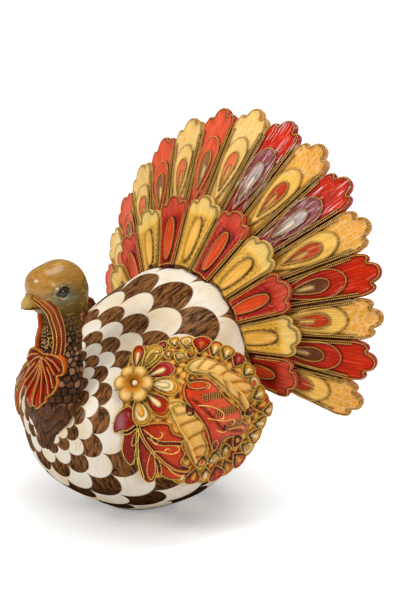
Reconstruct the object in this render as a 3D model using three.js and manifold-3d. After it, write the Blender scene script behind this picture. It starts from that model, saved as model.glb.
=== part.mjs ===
import * as THREE from 'three';
import { mergeVertices } from 'three/addons/utils/BufferGeometryUtils.js';
import Module from 'manifold-3d';

// A turkey figure of painted cast resin, in millimetres: +Z up, beak towards -Y, the bird's left side at +X.
// The origin is the centre of the felt pad's underside.
// Tables named shares hold shares of the sizes beside them.

// Fits and cuts
const seatGap = 0.3;
const featherGap = 0.6;
const overrun = 4;

// Body shell, felt pad and base plug
const feltThickness = 1.2;
const feltInset = 2.5;
const feltSegments = 18;
const bodyHeight = 212.5;
const bodyHalfWidth = 110;
const bodyFrontReach = 123.5;
const bodyBackReach = 99;
const bodyWall = 5;
const bodyCentreForward = 12;
const bodyCentreHeightShare = 0.501;
const castingHoleRadius = 20;
const plugThickness = 4.2;
const plugChamfer = 0.8;
const sectionHeightShares = [0, 0.056, 0.187, 0.374, 0.561, 0.748, 0.907, 0.972, 1];
const sectionWidthShares = [0.327, 0.51, 0.8, 0.977, 1, 0.782, 0.518, 0.3, 0];
const sectionFrontShares = [0.405, 0.559, 0.858, 1, 0.964, 0.559, 0.089, -0.146, -0.34];
const sectionBackShares = [0.505, 0.606, 0.758, 0.929, 1, 0.97, 0.808, 0.667, 0.424];
const bodySegments = 32;
const skinSearchShare = 0.00001;
const cavitySegments = 18;

// Neck with its crop, from the head's underside down to the pointed tip on the breast
const neckTopRise = 98;
const neckLength = 127;
const cropHalfWidth = 31;
const cropHalfDepth = 18;
const neckReach = 122.5;
const neckDropShares = [0, 0.126, 0.283, 0.457, 0.598, 0.724, 0.835, 0.929, 1];
const neckWidthShares = [0.548, 0.581, 0.694, 0.903, 1, 0.871, 0.548, 0.29, 0];
const neckDepthShares = [0.944, 0.944, 0.917, 0.944, 1, 0.667, 0.472, 0.278, 0];
const neckReachShares = [0.841, 0.849, 0.865, 0.878, 0.89, 0.963, 0.98, 0.992, 1];
const neckSegments = 18;

// Head, beak and eyes
const headHalfWidth = 22;
const headHalfLength = 33;
const headHalfHeight = 27;
const headForward = 5;
const headRise = 20;
const headSegments = 18;
const eyeRadius = 7.2;
const eyeSegments = 14;
const eyeProud = 3;
const eyeForward = 9;
const eyeRise = 4.5;
const beakForward = 23;
const beakLength = 15.6;
const beakRadius = 8;
const beakDrop = 4.5;
const mouthDrop = 9;
const lowerBeakRadius = 6.5;
const lowerBeakDepth = 3.6;
const lowerBeakLength = 13.8;
const beakRunShares = [0, 0.4, 0.72, 0.92, 1];
const beakRadiusShares = [1, 0.85, 0.58, 0.28, 0];
const beakDropShares = [0, -0.06, 0.08, 0.3, 0.52];
const lowerBeakShares = [1, 0.82, 0.5, 0.24, 0];

// Snood and wattle
const snoodWidth = 11;
const snoodThickness = 6.5;
const snoodSides = 7;
const snoodSteps = 16;
const snoodSpread = 13.5;
const snoodForward = 31.5;
const snoodRise = 2;
const snoodLength = 54.5;
const snoodSpreadShares = [0, 0.6, 0.93, 1, 0.85, 0.82, 0.96, 1];
const snoodForwardShares = [1, 0.92, 0.79, 0.6, 0.4, 0.333, 0.333, 0.35];
const snoodHeightShares = [1, 0.963, 0.87, 0.725, 0.56, 0.34, 0.14, 0];
const wattleThickness = 4.5;
const wattleHalfWidth = 24;
const wattleLength = 51;
const wattleDepth = 10;
const wattleOutlineShares = [
  [0, 0.02], [0.5, 0], [0.88, 0.06], [1, 0.24], [0.93, 0.4], [0.74, 0.36], [0.9, 0.58], [0.78, 0.78],
  [0.58, 0.76], [0.44, 0.93], [0.24, 0.92], [0, 1],
];
const wattleSteps = 30;

// Tail fan, a leaning cone whose feathers sweep back from a hub inside the body
const fanHubSetback = 13.3;
const fanHubHeightShare = 0.762;
const fanLean = THREE.MathUtils.degToRad(7.54);
const fanCone = THREE.MathUtils.degToRad(22.97);
const fanCurl = 13.5;
const outerFeatherCount = 17;
const outerSpacing = THREE.MathUtils.degToRad(12.77);
const outerRadius = 223;
const outerSideShrinkShare = 0.092;
const outerThickness = 8;
const outerTipDepth = 19;
const innerFeatherCount = 11;
const innerSpacing = THREE.MathUtils.degToRad(18.8);
const innerRadius = 145;
const innerSideShrinkShare = 0.046;
const innerHubDrop = 16.5;
const innerTipHeight = 10.5;
const innerTipThickness = 6.2;
const innerRootThickness = 1.1;
const innerTipDepth = 14;
const featherRootRadius = 50;
const outerRunShares = [0, 0.5, 1];
const innerRunShares = [0, 0.5, 1];
const tipAcrossShares = [0, 0.27, 0.49, 0.62, 0.84, 1];
const tipDropShares = [0, 0.09, 0.46, 0.4, 0.55, 1];
const outerPanelStart = 31;
const outerPanelLength = 65;
const outerPanelHalfWidth = 12.6;
const outerPanelHeight = 0.9;
const outerPanelCrown = 1.9;
const outerPanelAcrossShares = [0, 0.78, 1, 0.62, 0];
const outerPanelAlongShares = [0, 0.07, 0.3, 0.66, 1];
const innerPanelStart = 22;
const innerPanelLength = 40;
const innerPanelHalfWidth = 5.8;
const innerPanelHeight = 0.6;
const innerPanelCrown = 1.3;
const innerPanelAcrossShares = [0, 0.96, 0.88, 0];
const innerPanelAlongShares = [0, 0.25, 0.75, 1];
const panelRoot = 0.6;
const crownSizeShare = 0.58;
const crownMiddleShare = 0.55;
const backingRadius = 128;
const backingThickness = 7;
const backingSegments = 18;

// Dowels that join the castings
const dowelRadius = 2.5;
const dowelSegments = 12;
const tailDowelAngle = THREE.MathUtils.degToRad(28);
const tailDowelStart = 54;
const tailDowelLength = 38;
const headDowelLength = 30;
const headDowelBack = 4;
const neckDowelLength = 30;
const neckDowelReachShare = 0.996;
const neckDowelHeightShare = 0.614;

// Wing relief, drawn on a plane outside the body and laid on its skin along rays from the body's centre
const wingPlaneDistance = 100;
const wingFacingShares = [0.97, -0.24, 0.02];
const wingBaseThickness = 2.8;
const wingRearLift = 13;
const wingLiftLead = 40;
const wingLiftRun = 120;
const wingLiftPower = 1.5;
const wingFanClearance = 2;
const leafThickness = 3;
const wingGridSteps = 10;
const wingReach = 93;
const wingRise = 33;
const wingInsideShare = 0.35;
const wingOutsideShare = 1.7;
const wingOutlineShares = [
  [-0.66, 1.16], [-0.5, 1.2], [-0.3, 1.12], [-0.11, 1.05], [0.06, 1], [0.2, 0.88], [0.33, 0.82], [0.42, 0.66],
  [0.54, 0.52], [0.62, 0.36], [0.64, 0.2], [0.8, 0.08], [0.85, -0.06], [0.72, -0.17], [0.63, -0.27],
  [0.52, -0.42], [0.36, -0.53], [0.14, -0.54], [-0.04, -0.5], [-0.22, -0.47], [-0.46, -0.53], [-0.59, -0.43],
  [-0.67, -0.31], [-0.78, -0.18], [-0.86, 0.04], [-0.82, 0.22], [-0.8, 0.42], [-0.78, 0.64], [-0.74, 0.86],
  [-0.7, 1.04],
];
const leafOutlineShares = {
  front_red_leaf: [
    [-0.5, 0.12], [-0.62, 0.26], [-0.78, 0.2], [-0.83, 0.08], [-0.79, 0.01], [-0.7, 0.01], [-0.72, -0.14],
    [-0.68, -0.25], [-0.6, -0.27], [-0.56, -0.21], [-0.54, -0.37], [-0.46, -0.47], [-0.38, -0.43],
    [-0.36, -0.33], [-0.25, -0.41], [-0.11, -0.4], [-0.1, -0.32], [-0.16, -0.24], [-0.14, -0.12],
    [-0.19, 0], [-0.28, 0.05], [-0.34, 0.1],
  ],
  front_gold_leaf: [
    [-0.24, 0.22], [-0.22, 0.12], [-0.14, 0.02], [-0.09, -0.13], [-0.07, -0.24], [-0.02, -0.33], [0.04, -0.3],
    [0.03, -0.2], [-0.01, -0.08], [-0.06, 0.02], [-0.11, 0.13], [-0.15, 0.24],
  ],
  rear_red_leaf: [
    [-0.06, 0.38], [0.04, 0.41], [0.14, 0.37], [0.2, 0.26], [0.3, 0.1], [0.36, 0.01], [0.41, -0.06],
    [0.36, -0.12], [0.26, -0.12], [0.17, -0.12], [0.15, -0.2], [0.1, -0.24], [0.07, -0.17], [0.03, -0.07],
    [-0.02, 0.04], [-0.07, 0.14], [-0.1, 0.26],
  ],
  rear_gold_leaf: [
    [0.04, 0.5], [0.08, 0.62], [0.2, 0.61], [0.32, 0.51], [0.44, 0.38], [0.52, 0.28], [0.51, 0.18],
    [0.46, 0.13], [0.47, 0.03], [0.43, 0.02], [0.38, 0.1], [0.31, 0.2], [0.23, 0.33], [0.14, 0.45],
  ],
};
const leafSteps = 2;
const wingSteps = 1;

// Blossom and its ring of petals at the wing's shoulder
const blossomCentreSideways = 64;
const blossomCentreForward = 65;
const blossomCentreRise = 42;
const blossomRadius = 16;
const blossomHeight = 5.5;
const blossomSink = 2;
const blossomSegments = 20;
const blossomLobes = 5;
const blossomLobeShare = 0.1;
const blossomProfileShares = [
  [0.72, 0], [0.96, 0.35], [1, 0.8], [0.72, 1], [0.34, 0.72], [0.2, 0.5], [0.16, 0.86], [0, 1],
];
const petalCount = 6;
const petalFirstAngle = THREE.MathUtils.degToRad(80);
const petalStep = THREE.MathUtils.degToRad(-32);
const petalReach = 39;
const petalHalfWidth = 6.7;
const petalHubRadius = 15;
const petalThickness = 2.6;
const petalOutlineShares = [[0.43, 0.62], [0.68, 1], [0.88, 0.86], [0.98, 0.45], [1, 0]];
const hubArcPoints = 6;

const colours = {
  ivory: 0xe9dfc8, resin: 0xc9bca2, felt: 0x3c5a36, steel: 0x9a9ca0, olive: 0x8a6a2c, bark: 0x4a3426,
  horn: 0xa8863a, eye: 0x20140c, red: 0xb5301a, gold: 0xd99a2b, orange: 0xc8501c, rose: 0xb0402c,
  amber: 0xe0a838,
};

const wasm = await Module();
wasm.setup();

// Solids: closed meshes into booleans and back
function solid(geometry) {
  const bare = geometry.clone();
  for (const name of ['normal', 'uv']) bare.deleteAttribute(name);
  const merged = mergeVertices(bare);
  return new wasm.Manifold(new wasm.Mesh({
    numProp: 3,
    vertProperties: new Float32Array(merged.attributes.position.array),
    triVerts: new Uint32Array(merged.index.array),
  }));
}

function geometryOf(manifold) {
  const mesh = manifold.getMesh();
  const geometry = new THREE.BufferGeometry();
  const places = new Float32Array(mesh.vertProperties);
  geometry.setAttribute('position', new THREE.BufferAttribute(places, mesh.numProp));
  geometry.setIndex(new THREE.BufferAttribute(new Uint32Array(mesh.triVerts), 1));
  return geometry;
}

const cut = (geometry, ...tools) => geometryOf(
  tools.reduce((rest, tool) => rest.subtract(solid(tool)), solid(geometry)));
const join = (first, second) => geometryOf(solid(first).add(solid(second)));
const common = (first, second) => geometryOf(solid(first).intersect(solid(second)));

// A closed mesh from points and triangles, turned outwards if its volume comes out negative
function closedMesh(points, triangles) {
  let volume = 0;
  for (const [a, b, c] of triangles) volume += points[a].dot(points[b].clone().cross(points[c]));
  const faces = volume < 0 ? triangles.map(([a, b, c]) => [a, c, b]) : triangles;
  const geometry = new THREE.BufferGeometry().setFromPoints(points);
  geometry.setIndex(faces.flat());
  return geometry;
}

// Rings of equal length joined into a skin: a ring of one point closes to a tip, other ends get a flat cap
function loft(rings) {
  const points = rings.flat();
  const triangles = [];
  let start = 0;
  const capEnd = (ring, first) => {
    if (ring.length === 1) return;
    points.push(ring.reduce((sum, point) => sum.add(point), new THREE.Vector3()).divideScalar(ring.length));
    ring.forEach((_, i) => {
      const pair = [first + i, first + (i + 1) % ring.length];
      triangles.push([points.length - 1, ...(first === 0 ? pair.reverse() : pair)]);
    });
  };
  capEnd(rings[0], 0);
  for (let k = 1; k < rings.length; k += 1) {
    const low = rings[k - 1], high = rings[k], next = start + low.length;
    const count = Math.max(low.length, high.length);
    for (let i = 0; i < count; i += 1) {
      const j = (i + 1) % count;
      if (low.length > 1) triangles.push([start + i, start + j, next + (high.length > 1 ? i : 0)]);
      if (high.length > 1) triangles.push([start + (low.length > 1 ? j : 0), next + j, next + i]);
    }
    start = next;
  }
  capEnd(rings.at(-1), start);
  return closedMesh(points, triangles);
}

// Two grids of points, face to face, closed round their edge into a plate
function plate(front, back) {
  const rows = front.length, columns = front[0].length;
  const points = [...front.flat(), ...back.flat()];
  const triangles = [];
  const at = (side, i, j) => side * rows * columns + i * columns + j;
  for (let i = 1; i < rows; i += 1) {
    for (let j = 1; j < columns; j += 1) {
      triangles.push([at(0, i - 1, j - 1), at(0, i, j - 1), at(0, i, j)]);
      triangles.push([at(0, i - 1, j - 1), at(0, i, j), at(0, i - 1, j)]);
      triangles.push([at(1, i - 1, j - 1), at(1, i, j), at(1, i, j - 1)]);
      triangles.push([at(1, i - 1, j - 1), at(1, i - 1, j), at(1, i, j)]);
    }
  }
  const edge = [];
  for (let j = 0; j < columns - 1; j += 1) edge.push([0, j]);
  for (let i = 0; i < rows - 1; i += 1) edge.push([i, columns - 1]);
  for (let j = columns - 1; j > 0; j -= 1) edge.push([rows - 1, j]);
  for (let i = rows - 1; i > 0; i -= 1) edge.push([i, 0]);
  edge.forEach((here, k) => {
    const there = edge[(k + 1) % edge.length];
    triangles.push([at(0, ...here), at(0, ...there), at(1, ...there)]);
    triangles.push([at(0, ...here), at(1, ...there), at(1, ...here)]);
  });
  return closedMesh(points, triangles);
}

// A prism between two copies of an outline, whose drawn form is turned anticlockwise first
function prism(lowOutline, highOutline, drawnOutline) {
  const turned = (list) => (THREE.ShapeUtils.isClockWise(drawnOutline) ? [...list].reverse() : list);
  const [low, high, drawn] = [turned(lowOutline), turned(highOutline), turned(drawnOutline)];
  const count = low.length;
  const triangles = [];
  for (const [a, b, c] of THREE.ShapeUtils.triangulateShape(drawn, [])) {
    triangles.push([a, c, b], [count + a, count + b, count + c]);
  }
  for (let i = 0; i < count; i += 1) {
    const j = (i + 1) % count;
    triangles.push([i, j, count + j], [i, count + j, count + i]);
  }
  return closedMesh([...low, ...high], triangles);
}

// A cylinder from one point along a direction
function rod(start, direction, length, radius, segments = dowelSegments) {
  const geometry = new THREE.CylinderGeometry(radius, radius, length, segments);
  geometry.translate(0, length / 2, 0);
  geometry.applyQuaternion(new THREE.Quaternion().setFromUnitVectors(new THREE.Vector3(0, 1, 0), direction));
  return geometry.translate(start.x, start.y, start.z);
}

const dowel = ({ start, direction, length }) => rod(start, direction, length, dowelRadius);
const dowelBore = ({ start, direction, length }) => rod(
  start.clone().addScaledVector(direction, -seatGap), direction, length + 2 * seatGap, dowelRadius + seatGap);

// A smooth curve through a table: cubic pieces whose slopes come from the neighbouring stretches
function smooth(places, values, place) {
  const last = places.length - 1;
  const slope = (i) => (values[i + 1] - values[i]) / (places[i + 1] - places[i]);
  const tangent = (i) => {
    if (i === 0) return slope(0);
    if (i === last) return slope(last - 1);
    const before = places[i] - places[i - 1], after = places[i + 1] - places[i];
    return (slope(i - 1) * after + slope(i) * before) / (before + after);
  };
  let i = 0;
  while (i < last - 1 && place > places[i + 1]) i += 1;
  const run = places[i + 1] - places[i];
  const t = Math.min(Math.max((place - places[i]) / run, 0), 1);
  const rise = values[i + 1] - values[i];
  return values[i] + t * (tangent(i) * run + t * (3 * rise - (2 * tangent(i) + tangent(i + 1)) * run
    + t * ((tangent(i) + tangent(i + 1)) * run - 2 * rise)));
}

const midways = (table) => table.flatMap((value, i) => (i ? [(table[i - 1] + value) / 2, value] : [value]));

function circle(centre, radius, segments, u, v, otherRadius = radius) {
  return Array.from({ length: segments }, (_, i) => {
    const angle = (2 * Math.PI * i) / segments;
    const point = centre.clone().addScaledVector(u, radius * Math.cos(angle));
    return point.addScaledVector(v, otherRadius * Math.sin(angle));
  });
}

const sideways = new THREE.Vector3(1, 0, 0);
const rearward = new THREE.Vector3(0, 1, 0);
const upward = new THREE.Vector3(0, 0, 1);

// Body: level oval sections from the flat base to the crown of the back
const baseHeight = feltThickness + seatGap;
const bodyCentre = new THREE.Vector3(0, -bodyCentreForward, baseHeight + bodyHeight * bodyCentreHeightShare);

function section(heightShare, grow = 0) {
  const front = -bodyFrontReach * smooth(sectionHeightShares, sectionFrontShares, heightShare) - grow;
  const back = bodyBackReach * smooth(sectionHeightShares, sectionBackShares, heightShare) + grow;
  const halfWidth = bodyHalfWidth * smooth(sectionHeightShares, sectionWidthShares, heightShare) + grow;
  return { halfWidth, centre: (front + back) / 2, halfDepth: (back - front) / 2 };
}

function bodySkin(grow = 0, heightShares = midways(sectionHeightShares), segments = bodySegments) {
  const rings = heightShares.map((share, k) => {
    const { halfWidth, centre, halfDepth } = section(share, grow);
    const end = k === 0 ? -grow : k === heightShares.length - 1 ? grow : 0;
    const middle = new THREE.Vector3(0, centre, baseHeight + bodyHeight * share + end);
    if (share === 1) return [middle];
    return circle(middle, halfWidth, segments, sideways, rearward, halfDepth);
  });
  return loft(rings);
}

// How far the skin lies from the body's centre along a direction
function skinDistance(direction) {
  let near = 0, far = bodyHeight;
  while (far - near > bodyHeight * skinSearchShare) {
    const middle = (near + far) / 2;
    const point = bodyCentre.clone().addScaledVector(direction, middle);
    const share = (point.z - baseHeight) / bodyHeight;
    const { halfWidth, centre, halfDepth } = section(share);
    const across = Math.hypot(point.x / halfWidth, (point.y - centre) / halfDepth);
    if (share <= 0 || share >= 1 || across > 1) far = middle;
    else near = middle;
  }
  return near;
}

const grownBody = bodySkin(seatGap);

function bodyShell(bores) {
  const cavity = bodySkin(0, sectionHeightShares, cavitySegments);
  const shrink = 1 - bodyWall / bodyHalfWidth;
  cavity.translate(...bodyCentre.clone().negate().toArray()).scale(shrink, shrink, shrink);
  cavity.translate(...bodyCentre.toArray());
  const depth = baseHeight + bodyWall + overrun;
  const hole = rod(new THREE.Vector3(), upward, depth, castingHoleRadius, bodySegments);
  return cut(bodySkin(), cavity, hole, ...bores);
}

function basePlug() {
  const radius = castingHoleRadius - seatGap;
  const profile = [
    [0, 0], [radius, 0], [radius, plugThickness - plugChamfer], [radius - plugChamfer, plugThickness],
    [0, plugThickness],
  ].map(([x, y]) => new THREE.Vector2(x, y));
  return new THREE.LatheGeometry(profile, bodySegments).rotateX(Math.PI / 2);
}

function feltPad() {
  const { halfWidth, centre, halfDepth } = section(0, -feltInset);
  const shape = new THREE.Shape().absellipse(0, centre, halfWidth, halfDepth, 0, 2 * Math.PI);
  const settings = { depth: feltThickness, bevelEnabled: false, curveSegments: feltSegments };
  return new THREE.ExtrudeGeometry(shape, settings);
}

// Places of the neck, head and beak, each from the piece that carries it
const neckTopHeight = bodyCentre.z + neckTopRise;
const headReach = neckReach * neckReachShares[0] + headForward;
const headCentreHeight = neckTopHeight + headRise;
const beakRootReach = headReach + beakForward;
const mouthHeight = headCentreHeight - mouthDrop;
const snoodTopHeight = headCentreHeight + snoodRise;
const snoodEndHeight = snoodTopHeight - snoodLength;
const wattleTopHeight = snoodEndHeight - seatGap;

// Neck: round sections down a leaning centre line, seated on the body's breast
function neckSkin(grow = 0) {
  const drops = midways(neckDropShares);
  return loft(drops.map((drop) => {
    const reach = neckReach * smooth(neckDropShares, neckReachShares, drop);
    const halfWidth = cropHalfWidth * smooth(neckDropShares, neckWidthShares, drop) + grow;
    const halfDepth = cropHalfDepth * smooth(neckDropShares, neckDepthShares, drop) + grow;
    const end = drop === 0 ? grow : drop === 1 ? -grow : 0;
    const middle = new THREE.Vector3(0, -reach, neckTopHeight - neckLength * drop + end);
    if (drop === 1) return [middle];
    return circle(middle, halfWidth, neckSegments, sideways, rearward, halfDepth);
  }));
}

function head(grow = 0) {
  const skull = new THREE.SphereGeometry(1, headSegments, headSegments / 2).rotateX(Math.PI / 2);
  skull.scale(headHalfWidth + grow, headHalfLength + grow, headHalfHeight + grow);
  skull.translate(0, -headReach, headCentreHeight);
  const radius = cropHalfWidth * neckWidthShares[0] + grow;
  const middle = new THREE.Vector3(0, -neckReach * neckReachShares[0], neckTopHeight + seatGap - grow);
  const throat = rod(middle, upward, headCentreHeight - middle.z, radius);
  const below = new THREE.BoxGeometry(2 * headHalfLength, 2 * headHalfLength, 2 * headHalfHeight);
  below.translate(0, -headReach, middle.z - headHalfHeight);
  return cut(join(skull, throat), below);
}

function eyePlace(side) {
  const across = Math.sqrt(1 - (eyeForward / headHalfLength) ** 2 - (eyeRise / headHalfHeight) ** 2);
  const depth = eyeRadius - eyeProud;
  const aside = side * (headHalfWidth * across - depth);
  return new THREE.Vector3(aside, -headReach - eyeForward, headCentreHeight + eyeRise);
}

function eyeBall(grow = 0) {
  return new THREE.SphereGeometry(eyeRadius + grow, eyeSegments, eyeSegments / 2);
}

function eyeSocket(side) {
  const place = eyePlace(side);
  return eyeBall(seatGap).translate(place.x, place.y, place.z);
}

// Beak: sections along the reach, cut level at the mouth
function beak(radius, heightRadius, length, height, shares, keepUpper) {
  const rings = beakRunShares.map((run, k) => {
    const drop = keepUpper ? beakDropShares[k] * radius : 0;
    const middle = new THREE.Vector3(0, -beakRootReach - length * run, height - drop);
    if (run === 1) return [middle];
    return circle(middle, radius * shares[k], neckSegments, sideways, upward, heightRadius * shares[k]);
  });
  const reach = 2 * headHalfHeight;
  const half = new THREE.BoxGeometry(reach, reach, reach);
  const lift = keepUpper ? reach / 2 : -reach / 2 - seatGap;
  half.translate(0, -beakRootReach, mouthHeight + lift);
  return cut(common(loft(rings), half), head(seatGap));
}

function upperBeak(grow = 0) {
  const radius = beakRadius + grow;
  return beak(radius, radius, beakLength, headCentreHeight - beakDrop, beakRadiusShares, true);
}

function lowerBeak() {
  return beak(lowerBeakRadius, lowerBeakDepth, lowerBeakLength, mouthHeight, lowerBeakShares, false);
}

// Snood: a flat band over the beak's root and down both cheeks to the wattle
function snood(beakRoom) {
  const half = snoodSpreadShares.map((spread, k) => new THREE.Vector3(
    snoodSpread * spread, -headReach - snoodForward * snoodForwardShares[k],
    snoodEndHeight + snoodLength * snoodHeightShares[k]));
  const otherHalf = half.slice(1).reverse().map((point) => new THREE.Vector3(-point.x, point.y, point.z));
  const path = new THREE.CatmullRomCurve3([...otherHalf, ...half]);
  const rings = Array.from({ length: snoodSteps + 1 }, (_, k) => {
    const centre = path.getPoint(k / snoodSteps);
    const along = path.getTangent(k / snoodSteps);
    if (k % snoodSteps === 0) along.copy(upward).multiplyScalar(k ? -1 : 1);
    const axis = new THREE.Vector3(0, -headReach, Math.min(centre.z, headCentreHeight));
    const outward = centre.clone().sub(axis).projectOnPlane(along).normalize();
    const across = along.clone().cross(outward);
    return circle(centre, snoodWidth / 2, snoodSides, across, outward, snoodThickness / 2);
  });
  return cut(loft(rings), head(seatGap), neckSkin(seatGap), beakRoom);
}

// Wattle: the neck's own form made thicker, kept inside a lobed outline seen from the front
function wattle() {
  const right = wattleOutlineShares.map(([x, y]) => [x * wattleHalfWidth, y]);
  const left = right.slice(1, -1).reverse().map(([x, y]) => [-x, y]);
  const corners = [...right, ...left].map(([x, y]) => (
    new THREE.Vector3(x, wattleTopHeight - wattleLength * y)));
  const curve = new THREE.CatmullRomCurve3(corners, true);
  const outline = curve.getPoints(wattleSteps).slice(0, -1).map(({ x, y }) => new THREE.Vector2(x, y));
  const farReach = neckReach + cropHalfDepth + wattleThickness + overrun;
  const sheet = (reach) => outline.map(({ x, y }) => new THREE.Vector3(x, -reach, y));
  const band = prism(sheet(neckReach - wattleDepth), sheet(farReach), outline);
  const form = common(neckSkin(wattleThickness), band);
  return cut(form, neckSkin(seatGap));
}

// Tail fan: a point by angle from the top, distance from the hub and height in front of the outer row's face
function fanPoint(angle, radius, depth) {
  const curl = fanCurl * (radius / outerRadius) ** 2;
  const slope = Math.atan2(Math.sin(fanCone) + (2 * curl) / radius, Math.cos(fanCone));
  const level = radius * Math.cos(fanCone) + depth * Math.sin(slope);
  const point = new THREE.Vector3(
    level * Math.sin(angle), radius * Math.sin(fanCone) + curl - depth * Math.cos(slope),
    level * Math.cos(angle));
  point.applyAxisAngle(sideways, -fanLean);
  return point.add(new THREE.Vector3(0, fanHubSetback, baseHeight + bodyHeight * fanHubHeightShare));
}

// A point of the inner row, whose feathers spread from a hub below that of the outer row
function innerPoint(angle, radius, depth) {
  const aside = radius * Math.sin(angle);
  const rise = radius * Math.cos(angle) - innerHubDrop;
  return fanPoint(Math.atan2(aside, rise), Math.hypot(aside, rise), depth);
}

const mirroredTable = (table, sign) => [...table.slice(1).reverse().map((value) => sign * value), ...table];
const acrossTable = mirroredTable(tipAcrossShares, -1);
const dropTable = mirroredTable(tipDropShares, 1);

// A raised panel on a feather's face: one outline, and the same outline again, smaller, for its crown
function featherPanel({ angle, radius, place, front, panel }) {
  const { start, length, halfWidth, acrossShares, alongShares, height, crown } = panel;
  const half = acrossShares.map((across, i) => [across, alongShares[i]]);
  const outline = [...half, ...half.slice(1, -1).reverse().map(([across, along]) => [-across, along])];
  const tiers = [[1, -panelRoot], [1, height], [crownSizeShare, crown]];
  return loft(tiers.map(([size, level]) => outline.map(([across, along]) => {
    const here = radius - start - length * (crownMiddleShare + (along - crownMiddleShare) * size);
    const aside = (across * halfWidth * size) / (here * Math.cos(fanCone));
    return place(angle + aside, here, front(here) + level);
  })));
}

function feather({ angle, spacing, radius, runShares, tipDepth, place, front, back, panel }) {
  const grid = (depth) => acrossTable.map((across, i) => runShares.map((share) => {
    const tip = radius - tipDepth * dropTable[i];
    const here = featherRootRadius + (tip - featherRootRadius) * share;
    const halfAngle = spacing / 2 - featherGap / (2 * here * Math.cos(fanCone));
    return place(angle + across * halfAngle, here, depth(here));
  }));
  const raised = featherPanel({ angle, radius, place, front, panel });
  return cut(join(plate(grid(front), grid(back)), raised), grownBody);
}

const angleOf = (index, count, spacing) => ((count + 1) / 2 - index) * spacing;

function outerFeather(index) {
  const angle = angleOf(index, outerFeatherCount, outerSpacing);
  const radius = outerRadius * (1 - outerSideShrinkShare * (1 - Math.cos(angle)));
  return feather({
    angle, spacing: outerSpacing, radius, runShares: outerRunShares, tipDepth: outerTipDepth,
    place: fanPoint, front: () => 0, back: () => -outerThickness,
    panel: {
      start: outerPanelStart, length: outerPanelLength, halfWidth: outerPanelHalfWidth,
      acrossShares: outerPanelAcrossShares, alongShares: outerPanelAlongShares,
      height: outerPanelHeight, crown: outerPanelCrown,
    },
  });
}

function innerFeather(index) {
  const angle = angleOf(index, innerFeatherCount, innerSpacing);
  const radius = innerRadius * (1 - innerSideShrinkShare * (1 - Math.cos(angle)));
  const height = (root, tip) => (here) => root + (tip - root) * (here / innerRadius) ** 2;
  return feather({
    angle, spacing: innerSpacing, radius, runShares: innerRunShares, tipDepth: innerTipDepth,
    place: innerPoint, front: height(seatGap + innerRootThickness, innerTipHeight),
    back: height(seatGap, innerTipHeight - innerTipThickness),
    panel: {
      start: innerPanelStart, length: innerPanelLength, halfWidth: innerPanelHalfWidth,
      acrossShares: innerPanelAcrossShares, alongShares: innerPanelAlongShares,
      height: innerPanelHeight, crown: innerPanelCrown,
    },
  });
}

function fanSector(innerEdge, outerEdge, front, back) {
  const reach = (outerFeatherCount * outerSpacing) / 2;
  const steps = Array.from({ length: backingSegments + 1 }, (_, i) => (
    reach * ((2 * i) / backingSegments - 1)));
  const row = (angle, depth) => [innerEdge, outerEdge].map((radius) => fanPoint(angle, radius, depth));
  const grid = (depth) => steps.map((angle) => row(angle, depth));
  return plate(grid(front), grid(back));
}

function tailBacking(bores) {
  const front = -outerThickness - seatGap;
  const sector = fanSector(featherRootRadius, backingRadius, front, front - backingThickness);
  return cut(sector, grownBody, ...bores);
}

function tailDowel(side) {
  const depth = -outerThickness - seatGap - backingThickness / 2;
  const start = fanPoint(side * tailDowelAngle, tailDowelStart, depth);
  const end = fanPoint(side * tailDowelAngle, tailDowelStart + tailDowelLength, depth);
  return { start, direction: end.clone().sub(start).normalize(), length: start.distanceTo(end) };
}

const headDowel = {
  start: new THREE.Vector3(0, headDowelBack - headReach, neckTopHeight - headDowelLength / 2),
  direction: upward,
  length: headDowelLength,
};
const neckDowelHeight = baseHeight + bodyHeight * neckDowelHeightShare;
const neckDowel = {
  start: new THREE.Vector3(0, -neckReach * neckDowelReachShare, neckDowelHeight),
  direction: rearward,
  length: neckDowelLength,
};

// Wing: a drawing plane square to a direction from the body's centre
function drawingPlane(direction) {
  const out = direction.clone().normalize();
  const along = upward.clone().cross(out).normalize();
  const up = out.clone().cross(along);
  const middle = out.multiplyScalar(wingPlaneDistance);
  return (p, q) => middle.clone().addScaledVector(along, p).addScaledVector(up, q);
}

const wingFacing = new THREE.Vector3(...wingFacingShares).normalize();
const wingPlane = drawingPlane(wingFacing);
const blossomFacing = new THREE.Vector3(
  blossomCentreSideways, -blossomCentreForward, blossomCentreRise).normalize();
const blossomPlane = drawingPlane(blossomFacing);

// The wing's base grows thicker rearward, so its trailing edge stands off the body
function baseDepth(direction) {
  const along = upward.clone().cross(wingFacing).normalize();
  const p = (wingPlaneDistance * direction.dot(along)) / direction.dot(wingFacing);
  const run = THREE.MathUtils.clamp((p + wingLiftLead) / wingLiftRun, 0, 1);
  return wingBaseThickness + wingRearLift * run ** wingLiftPower;
}

function skinPoint(direction, height) {
  return bodyCentre.clone().addScaledVector(direction, skinDistance(direction) + height);
}

// A layer over the skin, wide enough for the whole wing, between two heights
function layer(lowHeight, highHeight) {
  const places = Array.from({ length: wingGridSteps + 1 }, (_, i) => (
    wingReach * ((2 * i) / wingGridSteps - 1)));
  const grid = (height) => places.map((p) => places.map((q) => {
    const direction = wingPlane(p, q + wingRise).normalize();
    return skinPoint(direction, height(direction));
  }));
  return plate(grid(highHeight), grid(lowHeight));
}

// A frustum through an outline on a drawing plane, from deep inside the body to far outside it
function frustum(plane, outline) {
  const ring = (share) => outline.map(({ x, y }) => bodyCentre.clone().addScaledVector(plane(x, y), share));
  return prism(ring(wingInsideShare), ring(wingOutsideShare), outline);
}

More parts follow.
